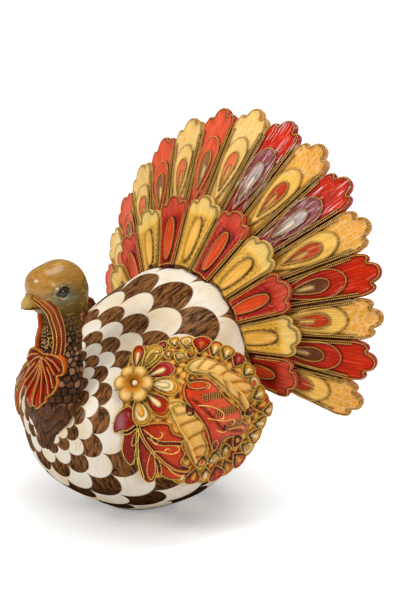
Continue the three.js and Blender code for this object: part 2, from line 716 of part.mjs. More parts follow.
// A frustum through a smoothed outline on the wing's drawing plane
function wingFrustum(shares, steps) {
  const corners = shares.map(([x, y]) => new THREE.Vector3(x, y, 0).multiplyScalar(wingPlaneDistance));
  const curve = new THREE.CatmullRomCurve3(corners, true);
  const points = curve.getPoints(steps * shares.length).slice(0, -1);
  return frustum(wingPlane, points.map(({ x, y }) => new THREE.Vector2(x, y)));
}

// Outline of the petals: out and back along each petal in turn, then round the rest of their hub
function petalFrustum(grow = 0) {
  const reach = petalReach + grow, halfWidth = petalHalfWidth + grow;
  const side = (sign) => petalOutlineShares.map(([run, width]) => [reach * run, sign * halfWidth * width]);
  const petal = [...side(1), ...side(-1).reverse().slice(1)].map(([x, y]) => new THREE.Vector2(x, y));
  const angles = Array.from({ length: petalCount }, (_, i) => petalFirstAngle + petalStep * i);
  const petals = angles.flatMap((angle) => petal.map((point) => (
    point.clone().rotateAround(new THREE.Vector2(), angle))));
  const arc = 2 * Math.PI + petalCount * petalStep;
  const hub = Array.from({ length: hubArcPoints }, (_, i) => {
    const angle = petalFirstAngle + petalStep * (petalCount - 0.5) - (arc * (i + 0.5)) / hubArcPoints;
    return new THREE.Vector2(Math.cos(angle), Math.sin(angle)).multiplyScalar(petalHubRadius + grow);
  });
  return frustum(blossomPlane, [...petals, ...hub]);
}

// Blossom: lobed rings from the seat over the rim and down into the cup, with a bead in the middle.
// It stands square to the skin at its centre, and its underside is trimmed to the layer that carries it.
function blossom(seat, seatHeight) {
  const around = [[0, 0], [blossomRadius, 0], [0, blossomRadius]].map(
    ([p, q]) => skinPoint(blossomPlane(p, q).normalize(), seatHeight));
  const u = around[1].sub(around[0]).normalize();
  const axis = u.clone().cross(around[2].sub(around[0])).normalize();
  const v = axis.clone().cross(u);
  const base = around[0].addScaledVector(axis, -blossomSink);
  const rings = blossomProfileShares.map(([radiusShare, heightShare]) => {
    const middle = base.clone().addScaledVector(axis, (blossomHeight + blossomSink) * heightShare);
    if (radiusShare === 0) return [middle];
    return Array.from({ length: blossomSegments }, (_, i) => {
      const angle = (2 * Math.PI * i) / blossomSegments;
      const lobe = 1 + blossomLobeShare * radiusShare * Math.cos(blossomLobes * angle);
      const reach = blossomRadius * radiusShare * lobe;
      const point = middle.clone().addScaledVector(u, reach * Math.cos(angle));
      return point.addScaledVector(v, reach * Math.sin(angle));
    });
  });
  return cut(loft(rings), seat);
}

function wingPieces() {
  const topOf = (extra) => (direction) => baseDepth(direction) + extra;
  const fanKeepOut = fanSector(
    featherRootRadius, outerRadius, innerTipHeight + wingFanClearance, -outerThickness);
  const baseLayer = layer(() => -overrun, topOf(0));
  const leafLayer = layer(topOf(seatGap), topOf(seatGap + leafThickness));
  const petalLayer = layer(topOf(seatGap), topOf(seatGap + petalThickness));
  const keepOut = [fanKeepOut, neckSkin(wingFanClearance)];
  const petalRoom = petalFrustum(featherGap);
  const base = common(baseLayer, wingFrustum(wingOutlineShares, wingSteps));
  const pieces = { base: cut(base, grownBody, ...keepOut) };
  for (const [name, shares] of Object.entries(leafOutlineShares)) {
    pieces[name] = cut(common(leafLayer, wingFrustum(shares, leafSteps)), petalRoom, ...keepOut);
  }
  pieces.petals = cut(common(petalLayer, petalFrustum()), ...keepOut);
  const blossomSeat = topOf(petalThickness + 2 * seatGap);
  pieces.blossom = blossom(layer(() => -overrun, blossomSeat), blossomSeat(blossomFacing));
  return pieces;
}

function mirrored(geometry) {
  const copy = geometry.clone().scale(-1, 1, 1);
  const index = Array.from(copy.index.array);
  for (let i = 0; i < index.length; i += 3) [index[i + 1], index[i + 2]] = [index[i + 2], index[i + 1]];
  copy.setIndex(index);
  return copy;
}

// Finish of each kind of surface
function finish(colour, roughness, metalness = 0) {
  return new THREE.MeshStandardMaterial({ color: colours[colour], roughness, metalness });
}

function piece(name, geometry, material) {
  const mesh = new THREE.Mesh(geometry, material);
  mesh.name = name;
  return mesh;
}

const turkey = new THREE.Group();
const tailDowels = { left: tailDowel(1), right: tailDowel(-1) };
const tailBores = Object.values(tailDowels).map(dowelBore);

const bodyGroup = new THREE.Group();
bodyGroup.add(
  piece('body_shell', bodyShell([...tailBores, dowelBore(neckDowel)]), finish('ivory', 0.25)),
  piece('felt_pad', feltPad(), finish('felt', 0.95)),
);
const plug = piece('base_plug', basePlug(), finish('resin', 0.6));
plug.position.z = baseHeight;
bodyGroup.add(plug);
turkey.add(bodyGroup);

const headGroup = new THREE.Group();
headGroup.add(
  piece('neck', cut(neckSkin(), grownBody, dowelBore(neckDowel), dowelBore(headDowel)), finish('bark', 0.4)),
  piece('head', cut(head(), eyeSocket(1), eyeSocket(-1), dowelBore(headDowel)), finish('olive', 0.3)),
  piece('neck_dowel', dowel(neckDowel), finish('steel', 0.4, 1)),
  piece('head_dowel', dowel(headDowel), finish('steel', 0.4, 1)),
);
const beakPieces = { upper_beak: upperBeak(), lower_beak: lowerBeak() };
for (const [name, geometry] of Object.entries(beakPieces)) {
  headGroup.add(piece(name, geometry, finish('horn', 0.35)));
}
headGroup.add(
  piece('snood', snood(upperBeak(seatGap)), finish('orange', 0.35)),
  piece('wattle', wattle(), finish('red', 0.3)),
);
for (const [name, side] of [['left_eye', 1], ['right_eye', -1]]) {
  const eye = piece(name, eyeBall(), finish('eye', 0.05));
  eye.position.copy(eyePlace(side));
  headGroup.add(eye);
}
turkey.add(headGroup);

const tailGroup = new THREE.Group();
tailGroup.add(piece('tail_backing', tailBacking(tailBores), finish('gold', 0.4, 0.3)));
for (const [side, place] of Object.entries(tailDowels)) {
  tailGroup.add(piece(`${side}_tail_dowel`, dowel(place), finish('steel', 0.4, 1)));
}
for (let i = 1; i <= outerFeatherCount; i += 1) {
  const name = `outer_feather_${String(i).padStart(2, '0')}`;
  tailGroup.add(piece(name, outerFeather(i), finish(i % 2 ? 'gold' : 'red', 0.3, 0.2)));
}
for (let i = 1; i <= innerFeatherCount; i += 1) {
  const name = `inner_feather_${String(i).padStart(2, '0')}`;
  tailGroup.add(piece(name, innerFeather(i), finish(i % 2 ? 'rose' : 'amber', 0.3, 0.2)));
}
turkey.add(tailGroup);

const wingColours = {
  base: 'gold', front_red_leaf: 'red', front_gold_leaf: 'amber', rear_red_leaf: 'rose',
  rear_gold_leaf: 'amber', petals: 'orange', blossom: 'amber',
};
const wings = wingPieces();
for (const side of ['left', 'right']) {
  const wingGroup = new THREE.Group();
  for (const [name, geometry] of Object.entries(wings)) {
    const sided = side === 'left' ? geometry : mirrored(geometry);
    wingGroup.add(piece(`${side}_wing_${name}`, sided, finish(wingColours[name], 0.3, 0.2)));
  }
  turkey.add(wingGroup);
}

export default turkey;
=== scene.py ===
import math

import bpy
import numpy as np
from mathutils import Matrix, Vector
from mathutils.geometry import delaunay_2d_cdt


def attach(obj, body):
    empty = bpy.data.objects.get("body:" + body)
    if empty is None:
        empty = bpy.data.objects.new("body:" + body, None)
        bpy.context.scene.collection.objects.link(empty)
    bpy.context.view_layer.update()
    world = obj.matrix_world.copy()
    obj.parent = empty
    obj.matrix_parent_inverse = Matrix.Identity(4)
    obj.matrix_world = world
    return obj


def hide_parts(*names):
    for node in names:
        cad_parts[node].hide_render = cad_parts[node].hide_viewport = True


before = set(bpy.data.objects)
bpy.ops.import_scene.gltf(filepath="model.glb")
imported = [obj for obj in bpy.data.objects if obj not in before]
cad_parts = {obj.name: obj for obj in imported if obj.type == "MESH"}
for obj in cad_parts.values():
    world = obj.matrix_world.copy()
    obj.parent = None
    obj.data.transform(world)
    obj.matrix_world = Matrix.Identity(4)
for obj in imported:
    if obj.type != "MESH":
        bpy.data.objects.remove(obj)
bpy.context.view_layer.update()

# A painted cast turkey. Lengths are in millimetres until a mesh is made, the places are the part's own.
METRE = 0.001
SEAT_GAP = 0.3
BASE_HEIGHT = 1.5
BODY_HEIGHT = 212.5
BODY_HALF_WIDTH = 110
BODY_FRONT = 123.5
BODY_BACK = 99
HOLE_RADIUS = 20
HOLE_DEPTH = 5.2
SECTION_HEIGHTS = [0, 0.056, 0.187, 0.374, 0.561, 0.748, 0.907, 0.972, 1]
SECTION_WIDTHS = [0.327, 0.51, 0.8, 0.977, 1, 0.782, 0.518, 0.3, 0]
SECTION_FRONTS = [0.405, 0.559, 0.858, 1, 0.964, 0.559, 0.089, -0.146, -0.34]
SECTION_BACKS = [0.505, 0.606, 0.758, 0.929, 1, 0.97, 0.808, 0.667, 0.424]
BODY_CENTRE = np.array([0, -12, BASE_HEIGHT + BODY_HEIGHT * 0.501])
NECK_TOP = BODY_CENTRE[2] + 98
NECK_LENGTH = 127
CROP_HALF_WIDTH = 31
CROP_HALF_DEPTH = 18
CROP_SWELL, CROP_SWELL_HEIGHT, CROP_SWELL_SPREAD = 6.4, 131, 18
NECK_REACH = 122.5
NECK_DROPS = [0, 0.126, 0.283, 0.457, 0.598, 0.724, 0.835, 0.929, 1]
NECK_WIDTHS = [0.548, 0.581, 0.694, 0.903, 1, 0.871, 0.548, 0.29, 0]
NECK_DEPTHS = [0.944, 0.944, 0.917, 0.944, 1, 0.667, 0.472, 0.278, 0]
NECK_REACHES = [0.841, 0.849, 0.865, 0.878, 0.89, 0.963, 0.98, 0.992, 1]
HEAD = np.array([0, -(NECK_REACH * NECK_REACHES[0] + 5), NECK_TOP + 20])
HUB = np.array([0, 13.3, BASE_HEIGHT + BODY_HEIGHT * 0.762])
FAN_LEAN = math.radians(7.54)
FAN_CONE = math.radians(22.97)
FAN_CURL = 13.5
OUTER_RADIUS = 223
OUTER_STEP = math.radians(12.77)
OUTER_THICKNESS = 8
INNER_RADIUS = 145
INNER_STEP = math.radians(18.8)
INNER_HUB_DROP = 16.5
FEATHER_GAP = 0.6


def rgb(red, green, blue):
    """A colour written as it shows on a screen, turned into scene light."""
    value = np.array([red, green, blue]) / 255
    return np.where(value <= 0.04045, value / 12.92, ((value + 0.055) / 1.055) ** 2.4)


def ease(value, low, high):
    """A soft step from 0 at low to 1 at high."""
    t = np.clip((value - low) / (high - low), 0, 1)
    return t * t * (3 - 2 * t)


def bell(value, middle, spread):
    """A hump of height 1 over its middle."""
    return np.exp(-((value - middle) / spread) ** 2)


def dome(edge, reach):
    """Rises from 0 at an edge to 1 at a reach from it, steep at first, as a dome does."""
    return np.sqrt(np.clip(edge / reach, 0, 1))


def rounded(edge, reach):
    """Falls from 1 at an edge to 0 at a reach from it, as a rounded corner does."""
    return (1 - np.clip(edge / reach, 0, 1)) ** 2


def mixed(first, second, share):
    """Two colours mixed by a share for each point."""
    share = np.clip(np.asarray(share, float), 0, 1)[..., None]
    return first + (second - first) * share


def smooth(places, values, place):
    """A smooth curve through a table, as the part draws its sections."""
    places, values = np.asarray(places, float), np.asarray(values, float)
    place = np.asarray(place, float)
    runs, rises = np.diff(places), np.diff(values)
    slopes = rises / runs
    tangents = np.empty_like(values)
    tangents[0], tangents[-1] = slopes[0], slopes[-1]
    tangents[1:-1] = (slopes[:-1] * runs[1:] + slopes[1:] * runs[:-1]) / (runs[1:] + runs[:-1])
    i = np.clip(np.searchsorted(places, place) - 1, 0, len(places) - 2)
    run, rise, t = runs[i], rises[i], np.clip((place - places[i]) / runs[i], 0, 1)
    low, high = tangents[i] * run, tangents[i + 1] * run
    return values[i] + t * (low + t * (3 * rise - 2 * low - high + t * (low + high - 2 * rise)))


def full_turn(count):
    """Angles evenly round a circle."""
    return np.arange(count) * 2 * np.pi / count


def unit(vectors):
    """Vectors of length 1."""
    vectors = np.asarray(vectors, float)
    return vectors / np.linalg.norm(vectors, axis=-1, keepdims=True)


# Plane outlines
def spline(corners, steps=8, closed=True):
    """A curve through corners, in steps pieces between each two."""
    corners = np.asarray(corners, float)
    if closed:
        ends = np.concatenate([corners[-1:], corners, corners[:2]])
    else:
        ends = np.concatenate([2 * corners[:1] - corners[1:2], corners, 2 * corners[-1:] - corners[-2:-1]])
    t = (np.arange(steps) / steps)[None, :, None]
    a, b, c, d = (ends[i:len(ends) - 3 + i, None] for i in range(4))
    curve = 0.5 * (2 * b + t * (c - a + t * (2 * a - 5 * b + 4 * c - d + t * (3 * b - 3 * c + d - a))))
    curve = curve.reshape(-1, corners.shape[1])
    return curve if closed else np.concatenate([curve, corners[-1:]])


def even(curve, pitch, closed=True):
    """The curve's points at an even pitch."""
    line = np.concatenate([curve, curve[:1]]) if closed else curve
    runs = np.concatenate([[0], np.cumsum(np.linalg.norm(np.diff(line, axis=0), axis=1))])
    count = max(int(round(runs[-1] / pitch)), 2)
    places = np.linspace(0, runs[-1], count + 1)[:count + (not closed)]
    return np.stack([np.interp(places, runs, line[:, k]) for k in range(line.shape[1])], axis=1)


def distance(points, curve, closed=True):
    """Distance of points from a curve, negative inside a closed one."""
    start = curve if closed else curve[:-1]
    end = np.roll(curve, -1, axis=0) if closed else curve[1:]
    result = np.empty(len(points))
    for first in range(0, len(points), 4000):
        block = points[first:first + 4000, None]
        run = end - start
        share = np.clip(((block - start) * run).sum(-1) / np.maximum((run * run).sum(-1), 1e-9), 0, 1)
        near = np.linalg.norm(block - start - run * share[..., None], axis=-1).min(1)
        if closed:
            low, high = start[:, 1], end[:, 1]
            crosses = (low > block[..., 1]) != (high > block[..., 1])
            rise = np.where(high == low, 1, high - low)
            where = start[:, 0] + (block[..., 1] - low) * run[:, 0] / rise
            inside = (crosses & (block[..., 0] < where)).sum(1) % 2 == 1
            near = np.where(inside, -near, near)
        result[first:first + 4000] = near
    return result


def splines(lists, steps=6):
    """Open curves through lists of corners."""
    return [spline(corners, steps, False) for corners in lists]


def opened(curves):
    """Curves marked as open, for a patch."""
    return [(curve, False) for curve in curves]


def nearest(points, curves):
    """Distance of points from the nearest of some open curves."""
    return np.min([distance(points, curve, False) for curve in curves], axis=0)


def inset(curve, amount):
    """A closed curve moved inwards by an amount."""
    ahead, behind = np.roll(curve, -1, axis=0), np.roll(curve, 1, axis=0)
    along = unit(ahead - behind + 1e-9)
    turn = np.stack([-along[:, 1], along[:, 0]], axis=1)
    area = (curve[:, 0] * ahead[:, 1] - curve[:, 1] * ahead[:, 0]).sum()
    moved = curve + turn * amount * np.sign(area)
    return moved[distance(moved, curve) < -0.9 * amount]


def teardrop(end, widest, point, half, fullness=1.0, steps=26):
    """A closed outline: rounded at its end, pointed at its point, on the axis across = 0."""
    t = np.linspace(0, 1, steps)
    round_part = np.stack([half * np.sin(t * np.pi / 2), widest - (widest - end) * np.cos(t * np.pi / 2)], 1)
    taper = half * (np.cos(t * np.pi / 2) ** 2 * (1 - fullness) + (1 - t ** 1.6) * fullness)
    point_part = np.stack([taper, widest + (point - widest) * t], 1)
    side = np.concatenate([round_part, point_part[1:]])
    other = side[1:-1][::-1] * [-1, 1]
    return np.concatenate([side, other])


def patch(outline, curves, spacing):
    """Points and triangles that fill an outline and follow the curves in it: (points, triangles)."""
    ring = even(outline, spacing)
    low, high = ring.min(0), ring.max(0)
    rows = np.arange(low[1], high[1], spacing * 0.866)
    grid = []
    for k, row in enumerate(rows):
        across = np.arange(low[0] + spacing / 2 * (k % 2), high[0], spacing)
        grid.append(np.stack([across, np.full_like(across, row)], 1))
    grid = np.concatenate(grid)
    grid = grid[distance(grid, ring) < -0.5 * spacing]
    points, edges = list(ring), [(i, (i + 1) % len(ring)) for i in range(len(ring))]
    for curve, closed in curves:
        line = even(curve, spacing, closed)
        keep = distance(line, ring) < -0.35 * spacing
        grid = grid[np.abs(distance(grid, line, closed)) > 0.5 * spacing]
        first = len(points)
        points.extend(line)
        for i in range(len(line) - (not closed)):
            j = (i + 1) % len(line)
            if keep[i] and keep[j]:
                edges.append((first + i, first + j))
    points.extend(grid)
    found = delaunay_2d_cdt([Vector(point) for point in points], edges, [], 1, 1e-5)
    places, triangles = np.array([tuple(point) for point in found[0]]), np.array(found[2])
    used = np.unique(triangles)
    order = np.full(len(places), -1)
    order[used] = np.arange(len(used))
    return places[used], order[triangles]


def sheet(points, level=0.0):
    """Places on a plane for the brush marks; each piece has a level of its own, so that no two are marked alike."""
    return np.column_stack([points, np.full(len(points), float(level))])


def over(place, relief):
    """Places points at a lift over a relief."""
    return lambda across, along, lift: place(across, along, relief(np.stack([across, along], 1))[0] + lift)


class Soup:
    """Gathers a mesh: points, faces, the paint on each point, its place on the piece and its share of metal."""

    def __init__(self):
        self.points, self.faces, self.paint, self.local, self.gilt = [], [], [], [], []
        self.count = 0

    def add(self, points, faces, paint, local=None, gilt=0.0):
        """Takes index arrays of triangles or quads as faces; gilt is 1 where the paint is metal."""
        points = np.asarray(points, float).reshape(-1, 3)
        paint = np.broadcast_to(paint, (len(points), 3))
        local = points if local is None else np.asarray(local, float).reshape(-1, 3)
        for block in faces:
            self.faces.append(np.asarray(block) + self.count)
        self.points.append(points)
        self.paint.append(paint)
        self.local.append(local)
        self.gilt.append(np.full(len(points), float(gilt)))
        self.count += len(points)

    def cap(self, start, count, point, paint, local=None, turned=False):
        """Closes a ring of points, from a start on, with triangles to one more point."""
        k = np.arange(count)
        block = np.stack([start + k, start + (k + 1) % count, np.full(count, self.count)], 1)
        self.add(point[None], [], paint, local)
        self.faces.append(block[:, ::-1] if turned else block)

    def build(self, name, material, slot, nodes, flip=False, mirror=False):
        """Makes the object that stands for the nodes; flip turns its faces over, mirror takes it across."""
        points = np.concatenate(self.points) * METRE
        if mirror:
            points, flip = points * [-1, 1, 1], not flip
        mesh = bpy.data.meshes.new(name)
        sizes = np.concatenate([np.full(len(block), block.shape[1]) for block in self.faces])
        corners = np.concatenate([(block[:, ::-1] if flip else block).ravel() for block in self.faces])
        mesh.vertices.add(len(points))
        mesh.vertices.foreach_set("co", points.astype(np.float32).ravel())
        mesh.loops.add(len(corners))
        mesh.loops.foreach_set("vertex_index", corners.astype(np.int32))
        mesh.polygons.add(len(sizes))
        starts = np.concatenate([[0], np.cumsum(sizes)[:-1]])
        mesh.polygons.foreach_set("loop_start", starts.astype(np.int32))
        mesh.polygons.foreach_set("use_smooth", np.full(len(sizes), True))
        mesh.update(calc_edges=True)
        mesh.validate()
        paint = np.concatenate(self.paint)
        paint = np.concatenate([paint, np.concatenate(self.gilt)[:, None]], axis=1)
        mesh.color_attributes.new("paint", "FLOAT_COLOR", "POINT").data.foreach_set(
            "color", paint.astype(np.float32).ravel())
        mesh.attributes.new("local", "FLOAT_VECTOR", "POINT").data.foreach_set(
            "vector", np.concatenate(self.local).astype(np.float32).ravel())
        mesh.materials.append(material)
        thing = bpy.data.objects.new(name, mesh)
        bpy.context.scene.collection.objects.link(thing)
        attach(thing, "root")
        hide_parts(*nodes)


def grid_faces(rows, columns, wrap=False):
    """Quads over a grid of rows and columns, whose columns may close on themselves."""
    i, j = np.meshgrid(np.arange(rows - 1), np.arange(columns if wrap else columns - 1), indexing="ij")
    a, b = i * columns + j, i * columns + (j + 1) % columns
    return np.stack([a, b, b + columns, a + columns], -1).reshape(-1, 4)


def tile(soup, points, triangles, front, back, front_paint, back_paint, local):
    """A closed piece between two copies of a patch, with a wall round it."""
    normal = np.cross(front[triangles[:, 1]] - front[triangles[:, 0]],
                      front[triangles[:, 2]] - front[triangles[:, 0]]).sum(0)
    if normal @ (front - back).mean(0) < 0:
        triangles = triangles[:, ::-1]
    count = len(points)
    pairs = triangles[:, [0, 1, 1, 2, 2, 0]].reshape(-1, 2)
    keys = pairs[:, 0] * count + pairs[:, 1]
    outer = pairs[~np.isin(pairs[:, 1] * count + pairs[:, 0], keys)]
    wall = np.stack([outer[:, 1], outer[:, 0], outer[:, 0] + count, outer[:, 1] + count], 1)
    soup.add(np.concatenate([front, back]), [triangles, triangles[:, ::-1] + count, wall],
             np.concatenate([front_paint, back_paint]), np.concatenate([local, local]))


BEAD_SIDES = 6


def beads(soup, curve, place, pitch, paint, closed=True, radius=0.46, height=0.75, lift=0.0, keep=None):
    """A row of domes along a curve; place takes across, along and height to a point."""
    line = even(curve, pitch, closed)
    if keep is not None:
        line = line[keep(line)]
    if len(line) < 2:
        return
    foot = place(*line.T, lift)
    out = unit(place(*line.T, lift + 1) - foot)
    step = place(line[:, 0] + 0.3, line[:, 1], lift) - foot
    side = unit(step - out * (step * out).sum(1, keepdims=True))
    ahead = np.cross(out, side)
    angle = full_turn(BEAD_SIDES)
    size = radius * pitch
    ring = np.cos(angle)[:, None, None] * side + np.sin(angle)[:, None, None] * ahead
    low = foot + size * ring - 0.4 * size * out
    middle = foot + 0.86 * size * ring + 0.5 * height * size * out
    top = (foot + 1.25 * height * size * out)[None]
    points = np.concatenate([low, middle, top]).transpose(1, 0, 2)
    k = np.arange(BEAD_SIDES)
    walls = np.stack([k, (k + 1) % BEAD_SIDES, (k + 1) % BEAD_SIDES + BEAD_SIDES, k + BEAD_SIDES], 1)
    caps = np.stack([k + BEAD_SIDES, (k + 1) % BEAD_SIDES + BEAD_SIDES, np.full_like(k, 2 * BEAD_SIDES)], 1)
    shift = (np.arange(len(line)) * (2 * BEAD_SIDES + 1))[:, None, None]
    # Painted shade at each bead's foot and a painted highlight on its top
    shade = np.concatenate([np.full(BEAD_SIDES, 0.1), np.full(BEAD_SIDES, 0.9), [1.6]])
    colour = shade[None, :, None] * np.asarray(paint)[None, None, :]
    soup.add(points, [(walls + shift).reshape(-1, 4), (caps + shift).reshape(-1, 3)],
             np.broadcast_to(np.minimum(colour, 0.95), points.shape).reshape(-1, 3), gilt=0.3)


# Materials
class Net:
    """A short way to write the nodes of a material or a world."""

    def __init__(self, name, holders="materials", shader="Principled BSDF"):
        self.holder = getattr(bpy.data, holders).new(name)
        self.holder.use_nodes = True
        self.tree = self.holder.node_tree
        self.shader = self.tree.nodes[shader]

    def node(self, kind, **settings):
        made = self.tree.nodes.new(kind)
        for key, value in settings.items():
            setattr(made, key, value)
        return made

    def put(self, socket, value):
        """Links a socket to an output, or sets its value."""
        if isinstance(value, bpy.types.NodeSocket):
            self.tree.links.new(value, socket)
        elif isinstance(value, (tuple, list, np.ndarray)) and socket.type == "RGBA":
            socket.default_value = (*[float(part) for part in value[:3]], 1)
        else:
            socket.default_value = value

    def math(self, kind, *values):
        made = self.node("ShaderNodeMath", operation=kind)
        for socket, value in zip(made.inputs, values):
            self.put(socket, value)
        return made.outputs[0]

    def times(self, first, second):
        return self.math("MULTIPLY", first, second)

    def less(self, first, second):
        return self.math("SUBTRACT", first, second)

    def vector(self, kind, *values):
        made = self.node("ShaderNodeVectorMath", operation=kind)
        for socket, value in zip(made.inputs, values):
            self.put(socket, value)
        return made.outputs[1 if kind in ("DOT_PRODUCT", "LENGTH") else 0]

    def scaled(self, vector, scale):
        return self.vector("MULTIPLY", vector, scale)

    def attribute(self, name, output="Color"):
        return self.node("ShaderNodeAttribute", attribute_name=name).outputs[output]

    def noise(self, vector, scale, detail, roughness=0.55, distortion=0.0):
        made = self.node("ShaderNodeTexNoise")
        for name, value in (("Vector", vector), ("Scale", scale), ("Detail", detail),
                            ("Roughness", roughness), ("Distortion", distortion)):
            self.put(made.inputs[name], value)
        return made.outputs["Fac"]

    def cells(self, vector):
        """Distance from the edges between irregular cells."""
        made = self.node("ShaderNodeTexVoronoi", feature="DISTANCE_TO_EDGE")
        self.put(made.inputs["Vector"], vector)
        self.put(made.inputs["Scale"], 1.0)
        return made.outputs[0]

    def part(self, vector, axis):
        """One coordinate of a vector."""
        made = self.node("ShaderNodeSeparateXYZ")
        self.put(made.inputs[0], vector)
        return made.outputs[axis]

    def span(self, value, low, high, to_low=0.0, to_high=1.0):
        """A soft step of a value from low to high."""
        made = self.node("ShaderNodeMapRange", interpolation_type="SMOOTHSTEP")
        for socket, number in zip(made.inputs, (value, low, high, to_low, to_high)):
            self.put(socket, number)
        return made.outputs[0]

    def blend(self, share, first, second, kind="MIX"):
        made = self.node("ShaderNodeMix", data_type="RGBA", blend_type=kind)
        for socket, value in ((made.inputs[0], share), (made.inputs[6], first), (made.inputs[7], second)):
            self.put(socket, value)
        return made.outputs[2]

    def bump(self, height, strength, reach):
        made = self.node("ShaderNodeBump")
        made.inputs["Strength"].default_value = strength
        made.inputs["Distance"].default_value = reach
        self.put(made.inputs["Height"], height)
        return made.outputs[0]

    def finish(self, colour, roughness, normal=None, metallic=0.0, coat=0.0, coat_roughness=0.12, specular=0.12):
        """Sets the surface; coat is the varnish over it."""
        for name, value in (("Base Color", colour), ("Roughness", roughness), ("Metallic", metallic),
                            ("Coat Weight", coat), ("Coat Roughness", coat_roughness),
                            ("Specular IOR Level", specular)):
            self.put(self.shader.inputs[name], value)
        if normal is not None:
            self.put(self.shader.inputs["Normal"], normal)
        return self.holder


def painted(name, across=0.9, along=0.05, streak=0.35, roughness=0.28, coat=0.35, streaks_and_sheen=0.0,
            streak_and_sheen_colour=(1, 1, 1), bump=0.25, crackle=0.0, shine_over=None, softness=0.12):
    """Hand-painted resin: the paint of each point, brushed in streaks along the piece, over a fine tooth."""
    net = Net(name)
    place = net.attribute("local", "Vector")
    stretched = net.scaled(place, (across, along, 0.3))
    strokes = net.noise(stretched, 1.0, 4.0, 0.6, 0.4)
    broad = net.noise(net.scaled(place, (0.11, 0.035, 0.1)), 1.0, 2.0)
    grain = net.noise(place, 1.7, 3.0, 0.7)
    colour = net.attribute("paint")
    level = net.math("MULTIPLY_ADD", net.less(strokes, 0.5), 2 * streak, 1.0)
    level = net.math("MULTIPLY_ADD", net.less(broad, 0.5), streak, level)
    level = net.math("MULTIPLY_ADD", net.less(grain, 0.5), 0.5 * streak, level)
    shade = net.node("ShaderNodeCombineXYZ")
    for socket in shade.inputs:
        net.put(socket, level)
    colour = net.blend(1.0, colour, shade.outputs[0], "MULTIPLY")
    # Pale streaks along the brush strokes: partly pale paint, partly a painted highlight
    if streaks_and_sheen:
        mask = net.times(net.span(strokes, 0.56, 0.66), streaks_and_sheen)
        colour = net.blend(mask, colour, streak_and_sheen_colour)
    height = net.math("MULTIPLY_ADD", strokes, 0.7, net.times(grain, 0.3))
    if crackle:
        # A net of fine pale cracks in the varnish near the tip
        warp = net.noise(net.scaled(place, (0.2, 0.2, 0.2)), 1.0, 2.0)
        spread = net.vector("ADD", net.scaled(place, (0.2, 0.16, 0.2)), warp)
        crack = net.less(1.0, net.span(net.cells(spread), 0.02, 0.09))
        near = net.less(1.0, net.span(net.part(place, 1), 26.0, 40.0))
        near = net.times(near, crackle)
        colour = net.blend(net.times(crack, near), colour, rgb(255, 226, 180))
    rough = net.span(strokes, 0.2, 0.8, roughness * 1.25, roughness * 0.8)
    gilt = net.attribute("paint", "Alpha")
    varnish = 0.3 * coat
    if shine_over is not None:
        # The varnish thins out below this level
        varnish = net.span(net.part(place, 0), shine_over, shine_over + 12.0, 0.03, varnish)
    return net.finish(colour, rough, net.bump(height, bump, 0.0006), gilt, varnish, softness, 0.02)


# Where things are
def section(share):
    """The body's half width, middle and half depth at a share of its height."""
    front = -BODY_FRONT * smooth(SECTION_HEIGHTS, SECTION_FRONTS, share)
    back = BODY_BACK * smooth(SECTION_HEIGHTS, SECTION_BACKS, share)
    return BODY_HALF_WIDTH * smooth(SECTION_HEIGHTS, SECTION_WIDTHS, share), (front + back) / 2, (back - front) / 2


def inside_body(points, grow=0.0):
    """Whether points lie in the body, grown by an amount."""
    share = (points[..., 2] - BASE_HEIGHT) / BODY_HEIGHT
    half_width, centre, half_depth = section(np.clip(share, 0, 1))
    across = np.hypot(points[..., 0] / (half_width + grow), (points[..., 1] - centre) / (half_depth + grow))
    return (share > 0) & (share < 1) & (across < 1)


def skin_distance(directions):
    """How far each direction runs from the body's middle to its skin."""
    near, far = np.zeros(directions.shape[:-1]), np.full(directions.shape[:-1], float(BODY_HEIGHT))
    for _ in range(26):
        middle = (near + far) / 2
        within = inside_body(BODY_CENTRE + directions * middle[..., None])
        near, far = np.where(within, middle, near), np.where(within, far, middle)
    return near


def fan_point(angle, radius, depth):
    """A place on the tail's cone: angle from the top, radius from its hub, depth in front of it."""
    curl = FAN_CURL * (radius / OUTER_RADIUS) ** 2
    slope = np.arctan2(math.sin(FAN_CONE) + 2 * curl / radius, math.cos(FAN_CONE))
    level = radius * math.cos(FAN_CONE) + depth * np.sin(slope)
    back, rise = radius * math.sin(FAN_CONE) + curl - depth * np.cos(slope), level * np.cos(angle)
    lean_cos, lean_sin = math.cos(FAN_LEAN), math.sin(FAN_LEAN)
    return HUB + np.stack([level * np.sin(angle), back * lean_cos + rise * lean_sin,
                           rise * lean_cos - back * lean_sin], -1)


def inner_point(angle, radius, depth):
    """A place on the same cone, seen from the inner feathers' lower hub."""
    aside, rise = radius * np.sin(angle), radius * np.cos(angle) - INNER_HUB_DROP
    return fan_point(np.arctan2(aside, rise), np.hypot(aside, rise), depth)


# Tail feathers
TIP = np.array([[0, 0], [0.12, 0.015], [0.24, 0.07], [0.34, 0.17], [0.42, 0.32], [0.465, 0.47], [0.49, 0.5],
                [0.53, 0.43], [0.61, 0.38], [0.71, 0.4], [0.8, 0.47], [0.88, 0.6], [0.94, 0.78], [0.985, 0.95],
                [1, 1.06]])
GOLD_BEAD = rgb(222, 164, 78)
# Ornaments of a feather, down from its tip: round end, widest place, point, and half width
TEAR, DROP, QUILL = (31, 50, 96, 12.6), (46, 57, 85, 6.4), (59, 65, 81, 1.9)
OUTER_TIP_DEPTH, INNER_TIP_DEPTH = 19, 14
OUTER_SHORTENING, INNER_SHORTENING = 0.092, 0.046
OVAL_MIDDLE, OVAL_HALF_LENGTH, OVAL_HALF_WIDTH = 42, 20, 5.6
ROW_PITCH, RING_PITCH = 1.7, 1.5
SECOND_ROW_START, INNER_SECOND_ROW_START = 23, 18


